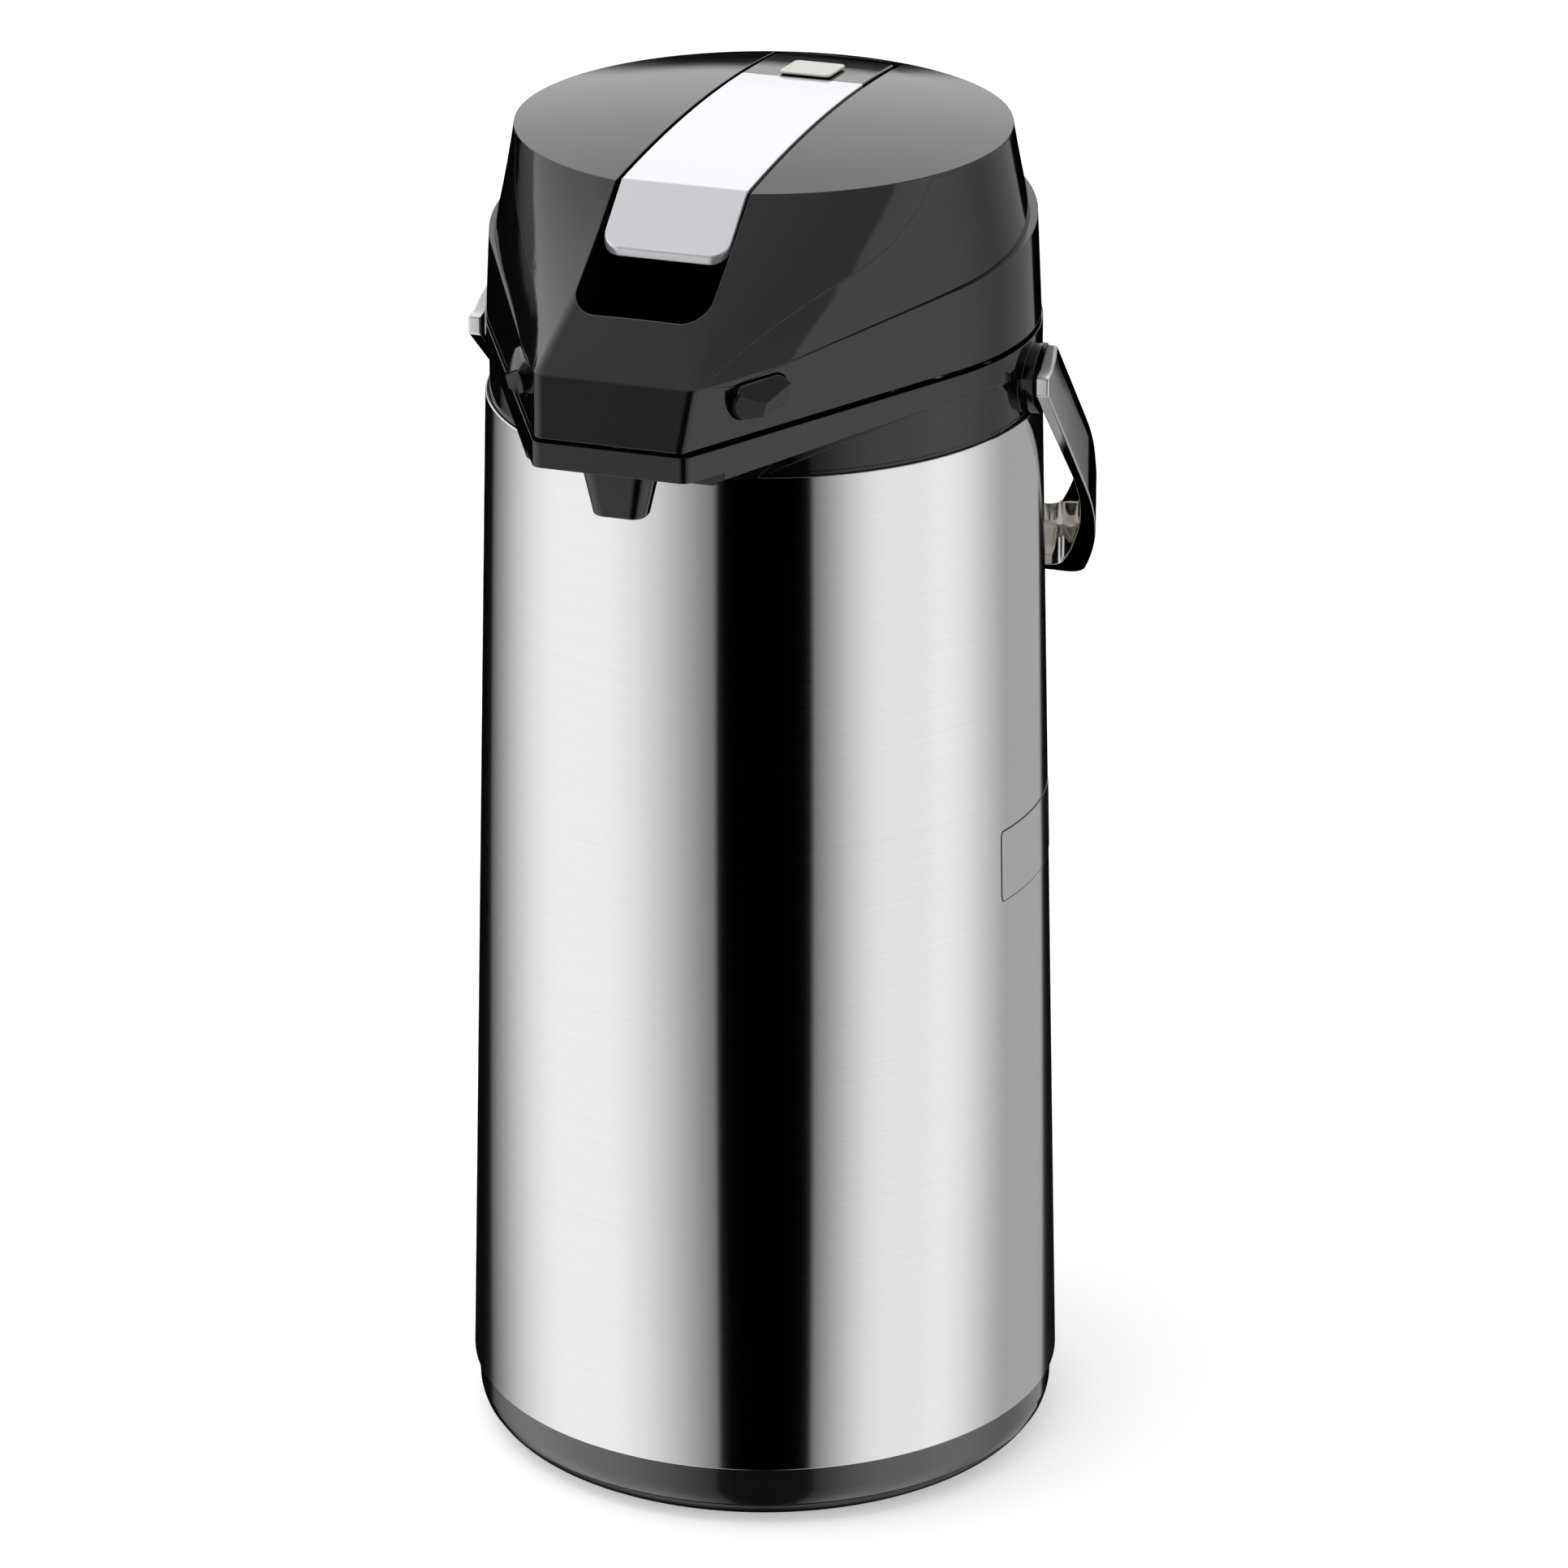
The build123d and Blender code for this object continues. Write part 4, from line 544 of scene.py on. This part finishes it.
# Gloss black ABS: deep black and mirror-like, with a hint of moulding waves and of haze from wiping.
waves = add_node(tree, "ShaderNodeTexNoise", [("Vector", place)], Scale=1 / wave_size, Detail=2.0)
haze = add_node(tree, "ShaderNodeTexNoise", [("Vector", place)], Scale=1 / haze_size, Detail=5.0)
dull = add_node(
    tree, "ShaderNodeMapRange", [(0, haze.outputs[0])],
    socket1=0.3, socket2=0.7, socket3=0.05, socket4=0.09,
)
round_edge = add_node(tree, "ShaderNodeBevel", samples=8, Radius=edge_radius)
bump = add_node(
    tree, "ShaderNodeBump", [("Height", waves.outputs[0]), ("Normal", round_edge.outputs[0])],
    Strength=0.012, Distance=wave_relief,
)
shader = add_node(
    tree, "ShaderNodeBsdfPrincipled", [("Roughness", dull.outputs[0]), ("Normal", bump.outputs[0])],
    Base_Color=colour("0B0B0C"),
)
shader.inputs["IOR"].default_value = 1.55
close_material(tree, shader)
paint_on(gloss_abs, "collar", "tube_elbow", "nozzle")
paint_on(zinc_steel, "hinge_pin")

# ------------------------------------------------------------------ lid shells
# Three black shells make the lid: the band below with the release buttons, the side wall that wraps back from
# the flanks, and the visor with the dome on top. They are screwed together from below.
paint_on(gloss_abs, "lid_band", "lid_side", "lid_top")

# ------------------------------------------------------------------ lid plate, seal and screws
# A black plate closes the lid from below and carries the silicone seal. Six plated screws hold it.
paint_on(gloss_abs, "lid_plate")
paint_on(silicone, "lid_seal")
paint_on(zinc_steel, "lid_screws")

# ------------------------------------------------------------------ pump
# A rubber bellows with a steel spring inside works as the air pump, and an acetal cap on top of it takes the
# push of
# # the lever. Bellows and spring stand on the lid's plate, shortened by a hair of play.
merge_gap = 0.003 * mm
flat_angle = radians(0.2)


def soft_copy(node, name, width, segments=3, angle=28):
    """Merged copy of a moulded part whose sharp edges are rounded by width."""
    deselect_all()
    piece = nodes[node].copy()
    piece.data = nodes[node].data.copy()
    bpy.context.scene.collection.objects.link(piece)
    piece.name = name
    piece.parent = None
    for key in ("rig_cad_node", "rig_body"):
        if key in piece:
            del piece[key]
    bpy.context.view_layer.objects.active = piece
    piece.select_set(True)
    bpy.ops.mesh.customdata_custom_splitnormals_clear()
    bpy.ops.object.mode_set(mode="EDIT")
    bpy.ops.mesh.select_all(action="SELECT")
    bpy.ops.mesh.remove_doubles(threshold=merge_gap)
    bpy.ops.mesh.dissolve_limited(angle_limit=flat_angle)
    bpy.ops.object.mode_set(mode="OBJECT")
    if width:
        round_edges(piece, width, segments, angle)
    return piece


def round_edges(piece, width, segments, angle):
    """Rounds every edge sharper than angle and shades the piece smooth."""
    use_modifier(
        piece, "BEVEL", width=width, segments=segments, limit_method="ANGLE", angle_limit=radians(angle),
        use_clamp_overlap=False, loop_slide=False, miter_outer="MITER_ARC",
    )
    bpy.ops.object.shade_smooth_by_angle(angle=radians(angle))
    use_modifier(piece, "WEIGHTED_NORMAL", mode="FACE_AREA", weight=80, keep_sharp=True)


pump_play = 0.05 * mm
bellows_low, bellows_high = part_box("bellows")
pump_foot = Vector((0, 0, bellows_low.z))
pump_height = bellows_high.z - bellows_low.z
for node, made, slot in (("bellows", rubber, "black_rubber"), ("bellows_spring", zinc_steel, "pin_steel")):
    piece = soft_copy(node, f"pump_{node}", 0)
    bpy.ops.object.shade_smooth_by_angle(angle=radians(30))
    to_foot = Matrix.Translation(pump_foot)
    lower = Matrix.Diagonal((1, 1, 1 - pump_play / pump_height, 1))
    piece.data.transform(to_foot @ lower @ to_foot.inverted())
    finish_piece(piece, made, "lid", slot, node)
    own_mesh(piece)
paint_on(natural_acetal, "pusher")

# ------------------------------------------------------------------ lever
# The lever is an ABS strip in satin silver lacquer with bright rounded edges. It clips onto a black carrier
# that turns on a steel pin at the back of the dome.
flake_size = 0.25 * mm
silver, tree, place = start_material("satin_silver_lacquer")
# Silver lacquer over plastic: a bright neutral grey with very fine flake and a soft shine under clear coat.
flake = add_node(tree, "ShaderNodeTexNoise", [("Vector", place)], Scale=1 / flake_size, Detail=2.0)
tone = add_node(
    tree, "ShaderNodeMix", [("Factor", flake.outputs[0])], data_type="RGBA", socket6=colour("DCDEE2"),
    socket7=colour("E4E6EA"),
)
dull = add_node(
    tree, "ShaderNodeMapRange", [(0, flake.outputs[0])],
    socket1=0.3, socket2=0.7, socket3=0.15, socket4=0.21,
)
shader = add_node(
    tree, "ShaderNodeBsdfPrincipled", [("Base Color", tone.outputs[2]), ("Roughness", dull.outputs[0])],
    Metallic=0.7,
)
close_material(tree, shader)


def push_points(piece, chosen, shift):
    """Moves the chosen points of the active piece, given by their numbers."""
    bpy.ops.object.mode_set(mode="EDIT")
    bpy.ops.mesh.select_mode(type="VERT")
    bpy.ops.mesh.select_all(action="DESELECT")
    bpy.ops.object.mode_set(mode="OBJECT")
    for index in chosen:
        piece.data.vertices[index].select = True
    bpy.ops.object.mode_set(mode="EDIT")
    bpy.ops.transform.translate(value=shift)
    bpy.ops.mesh.select_all(action="DESELECT")
    bpy.ops.object.mode_set(mode="OBJECT")


lever = soft_copy("lever", "silver_lever", 0)
# The lacquer stops in front of the lock slide, and the rest of the strip is bare gloss black.
lacquer_gap = 1.5 * mm
lacquer_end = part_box("lock_slide")[0].y - lacquer_gap
# The strip's front end is folded down in a short upright lip.
lip_drop = 1.2 * mm
lip_run = 1.0 * mm
lip_reach = 6 * mm
lip_slack = 0.1 * mm
lip_back = min(point.co.y for point in lever.data.vertices) + lip_reach
bpy.context.view_layer.objects.active = lever
cut_along([((0, lacquer_end, 0), (0, 1, 0)), ((0, lip_back, 0), (0, 1, 0))])
under = {index for face in lever.data.polygons if face.normal.z < -0.7 for index in face.vertices}
lip = [index for index in under if lever.data.vertices[index].co.y < lip_back - lip_slack]
push_points(lever, lip, (0, -lip_run, -lip_drop))
edge_round = 0.5 * mm
round_edges(lever, edge_round, 3, 28)
finish_piece(lever, silver, "lever", "satin_silver_lacquer", "lever")
lever.data.materials.append(gloss_abs)
for face in lever.data.polygons:
    if face.center.y > lacquer_end:
        face.material_index = 1
paint_on(gloss_abs, "lever_frame")
paint_on(zinc_steel, "lever_pin")

# ------------------------------------------------------------------ lock slide
# A small ivory slide behind the lever stops it from being pressed in transport. It is moulded ABS with
# rounded edges and runs in a black slot.
ivory_cloud = 2.5 * mm
ivory, tree, place = start_material("ivory_abs")
# Ivory ABS: warm off-white, half gloss.
cloud = add_node(tree, "ShaderNodeTexNoise", [("Vector", place)], Scale=1 / ivory_cloud, Detail=3.0)
dull = add_node(tree, "ShaderNodeMapRange", [(0, cloud.outputs[0])], socket3=0.2, socket4=0.32)
shader = add_node(
    tree, "ShaderNodeBsdfPrincipled", [("Roughness", dull.outputs[0])], Base_Color=colour("DAD8D0"),
)
close_material(tree, shader)
slide_round = 0.4 * mm
lock = soft_copy("lock_slide", "lock_slide_cap", slide_round)
finish_piece(lock, ivory, "lock", "ivory_plastic", "lock_slide")

# ------------------------------------------------------------------ release buttons
# One obround button sits in each flank of the band. Its face is cut to three slopes that meet in soft ridges,
# and a flange behind the band keeps it in. Its latch reaches down into the collar.
flank_turn = radians(61.8)
button_length = 19.6 * mm
button_height = 8.5 * mm
button_proud = 2.9 * mm
button_apex = (-1.8 * mm, -0.5 * mm)
flange_length = 22.4 * mm
flange_height = 10.3 * mm
flange_thick = 1.5 * mm
ridge_width = 1.5 * mm
cap_merge_gap = 0.002 * mm
# Each slope falls away from the apex: its heading round the face, and how steep it is, in degrees.
slopes = [(85, 42), (-40, 22), (207, 24)]
thumb_haze = 8.3 * mm
button_abs_painted_shade, tree, place = start_material("black_abs_painted_shade")
# Black ABS with painted shade: darker in colour and weaker in shine than the shells round it, standing in for
# the
# # shade in the button's recess so that the ridges stand out, with a haze from thumbs.
haze = add_node(tree, "ShaderNodeTexNoise", [("Vector", place)], Scale=1 / thumb_haze, Detail=4.0)
dull = add_node(
    tree, "ShaderNodeMapRange", [(0, haze.outputs[0])],
    socket1=0.3, socket2=0.7, socket3=0.06, socket4=0.12,
)
shader = add_node(
    tree, "ShaderNodeBsdfPrincipled", [("Roughness", dull.outputs[0])], Base_Color=colour("060607"),
)
# The low IOR weakens the shine, and that darkening is painted shade too.
shader.inputs["IOR"].default_value = 1.38
close_material(tree, shader)


def obround(length, tall, thick, high):
    """Obround slab lying flat, its top at a height."""
    deselect_all()
    bpy.ops.mesh.primitive_cylinder_add(
        vertices=50, radius=tall / 2, depth=thick, location=(0, 0, high - thick / 2),
    )
    slab = bpy.context.object
    bpy.ops.object.transform_apply(location=True, rotation=True, scale=True)
    right_half = [point.index for point in slab.data.vertices if point.co.x > 0]
    left_half = [point.index for point in slab.data.vertices if point.co.x <= 0]
    stretch = (length - tall) / 2
    push_points(slab, right_half, (stretch, 0, 0))
    push_points(slab, left_half, (-stretch, 0, 0))
    return slab


def release_button(side):
    """One button seated in its flank, on the right for side 1 and on the left for side -1."""
    name = "right" if side > 0 else "left"
    cad = nodes[f"button_{name}"].data
    outward = Vector((side * sin(flank_turn), -cos(flank_turn), 0))
    across = Vector((side * cos(flank_turn), sin(flank_turn), 0))
    reach = max(point.co.dot(outward) for point in cad.vertices)
    face = [point.co for point in cad.vertices if point.co.dot(outward) > reach - level_slack]
    middle = (max(spot.dot(across) for spot in face) + min(spot.dot(across) for spot in face)) / 2
    level = (max(spot.z for spot in face) + min(spot.z for spot in face)) / 2
    back = min(point.co.dot(outward) for point in cad.vertices) - reach
    cap = obround(button_length, button_height, button_proud - back - flange_thick, button_proud)
    cuts = []
    for heading, slope in slopes:
        lean = sin(radians(slope))
        normal = (lean * cos(radians(heading)), lean * sin(radians(heading)), cos(radians(slope)))
        cuts.append(((*button_apex, button_proud), normal))
    cut_along(cuts, use_fill=True, clear_outer=True)
    bpy.ops.object.mode_set(mode="EDIT")
    bpy.ops.mesh.select_all(action="SELECT")
    bpy.ops.mesh.remove_doubles(threshold=cap_merge_gap)
    bpy.ops.mesh.select_all(action="DESELECT")
    bpy.ops.object.mode_set(mode="OBJECT")
    ridges = bmesh.new()
    ridges.from_mesh(cap.data)
    for edge in ridges.edges:
        sloping = len(edge.link_faces) == 2 and all(face.normal.z > 0.5 for face in edge.link_faces)
        edge.select = sloping and edge.calc_face_angle() > radians(10)
    ridges.select_flush_mode()
    ridges.to_mesh(cap.data)
    ridges.free()
    bpy.ops.object.mode_set(mode="EDIT")
    bpy.ops.mesh.select_mode(type="EDGE")
    bpy.ops.mesh.bevel(offset=ridge_width, segments=4, affect="EDGES", clamp_overlap=True)
    bpy.ops.object.mode_set(mode="OBJECT")
    round_edges(cap, edge_round, 3, 40)
    obround(flange_length, flange_height, flange_thick, back + flange_thick)
    # The flange is still selected, so the cap takes it in.
    cap.select_set(True)
    bpy.context.view_layer.objects.active = cap
    bpy.ops.object.join()
    cap.name = f"release_button_{name}"
    turn = Matrix((across, (0, 0, 1), outward)).transposed().to_4x4()
    cap.data.transform(turn)
    if side < 0:
        cap.data.flip_normals()
    cap.data.transform(Matrix.Translation(across * middle + outward * reach + Vector((0, 0, level))))
    bpy.ops.object.shade_smooth_by_angle(angle=radians(30))
    finish_piece(cap, button_abs_painted_shade, f"release_{name}", "gloss_black_plastic", f"button_{name}")


for side in (-1, 1):
    release_button(side)
paint_on(gloss_abs, "latch_left", "latch_right")

# ------------------------------------------------------------------ bail handle
# The carrying bail is a cast and chromed strap in one sweep from side to side, with a slanted facet along its
# outer face, and a satin nickel grip bar is fixed inside its bow. Two steel pins carry it in the collar.
paint_on(zinc_steel, "bail_pin_left", "bail_pin_right")
chrome_haze = 16.7 * mm
chrome, tree, place = start_material("polished_chrome")
# Decorative chrome: a hard mirror with a slightly warm cast and the faintest haze.
haze = add_node(tree, "ShaderNodeTexNoise", [("Vector", place)], Scale=1 / chrome_haze, Detail=6.0)
dull = add_node(
    tree, "ShaderNodeMapRange", [(0, haze.outputs[0])],
    socket1=0.35, socket2=0.7, socket3=0.04, socket4=0.08,
)
round_edge = add_node(tree, "ShaderNodeBevel", samples=8, Radius=edge_radius)
shader = add_node(
    tree, "ShaderNodeBsdfPrincipled", [("Roughness", dull.outputs[0]), ("Normal", round_edge.outputs[0])],
    Base_Color=colour("DEDCDA"), Metallic=1.0,
)
close_material(tree, shader)
bail_pivot = Vector((0, 2.0 * mm, 302.9 * mm))
bail_hang = radians(48)
bail_down = Vector((0, sin(bail_hang), -cos(bail_hang)))
bail_rear = Vector((0, cos(bail_hang), sin(bail_hang)))
bail_middle = 50 * mm
bail_inside = bail_pivot + bail_down * bail_middle
facet_start = 3.8 * mm
facet_slope = 0.126
bail = soft_copy("handle", "chrome_bail", 0)
cut_along([(bail_pivot + bail_rear * facet_start, bail_rear)])
# Behind the crease the outer wall leans in, each point by how far back it lies, so the points move singly.
outward = {}
for face in bail.data.polygons:
    along_wall = abs(face.normal.x) > 0.3 or face.normal.dot(bail_down) > 0.3
    faces_out = face.normal.dot(face.center - bail_inside) > 0
    if along_wall and faces_out and abs(face.normal.dot(bail_rear)) < 0.3:
        for index in face.vertices:
            outward[index] = outward.get(index, Vector()) + face.normal
crease = set()
for index, normal in outward.items():
    spot = bail.data.vertices[index].co
    past = (spot - bail_pivot).dot(bail_rear) - facet_start
    if past > level_slack:
        spot -= normal.normalized() * past * facet_slope
    elif past > -level_slack:
        crease.add(index)
for edge in bail.data.edges:
    edge.use_edge_sharp = all(index in crease for index in edge.vertices)
round_edges(bail, edge_round, 3, 28)
finish_piece(bail, chrome, "bail", "polished_chrome", "handle")
nickel_haze = 12.5 * mm
satin_nickel, tree, place = start_material("satin_nickel")
# Satin nickel: a warm grey metal with a soft shine, a little uneven where hands have polished it.
haze = add_node(tree, "ShaderNodeTexNoise", [("Vector", place)], Scale=1 / nickel_haze, Detail=5.0)
dull = add_node(
    tree, "ShaderNodeMapRange", [(0, haze.outputs[0])],
    socket1=0.35, socket2=0.7, socket3=0.36, socket4=0.44,
)
round_edge = add_node(tree, "ShaderNodeBevel", samples=8, Radius=edge_radius)
shader = add_node(
    tree, "ShaderNodeBsdfPrincipled", [("Roughness", dull.outputs[0]), ("Normal", round_edge.outputs[0])],
    Base_Color=colour("D8D2C6"), Metallic=1.0,
)
close_material(tree, shader)
paint_on(satin_nickel, "handle_grip")

deselect_all()
bpy.context.view_layer.update()
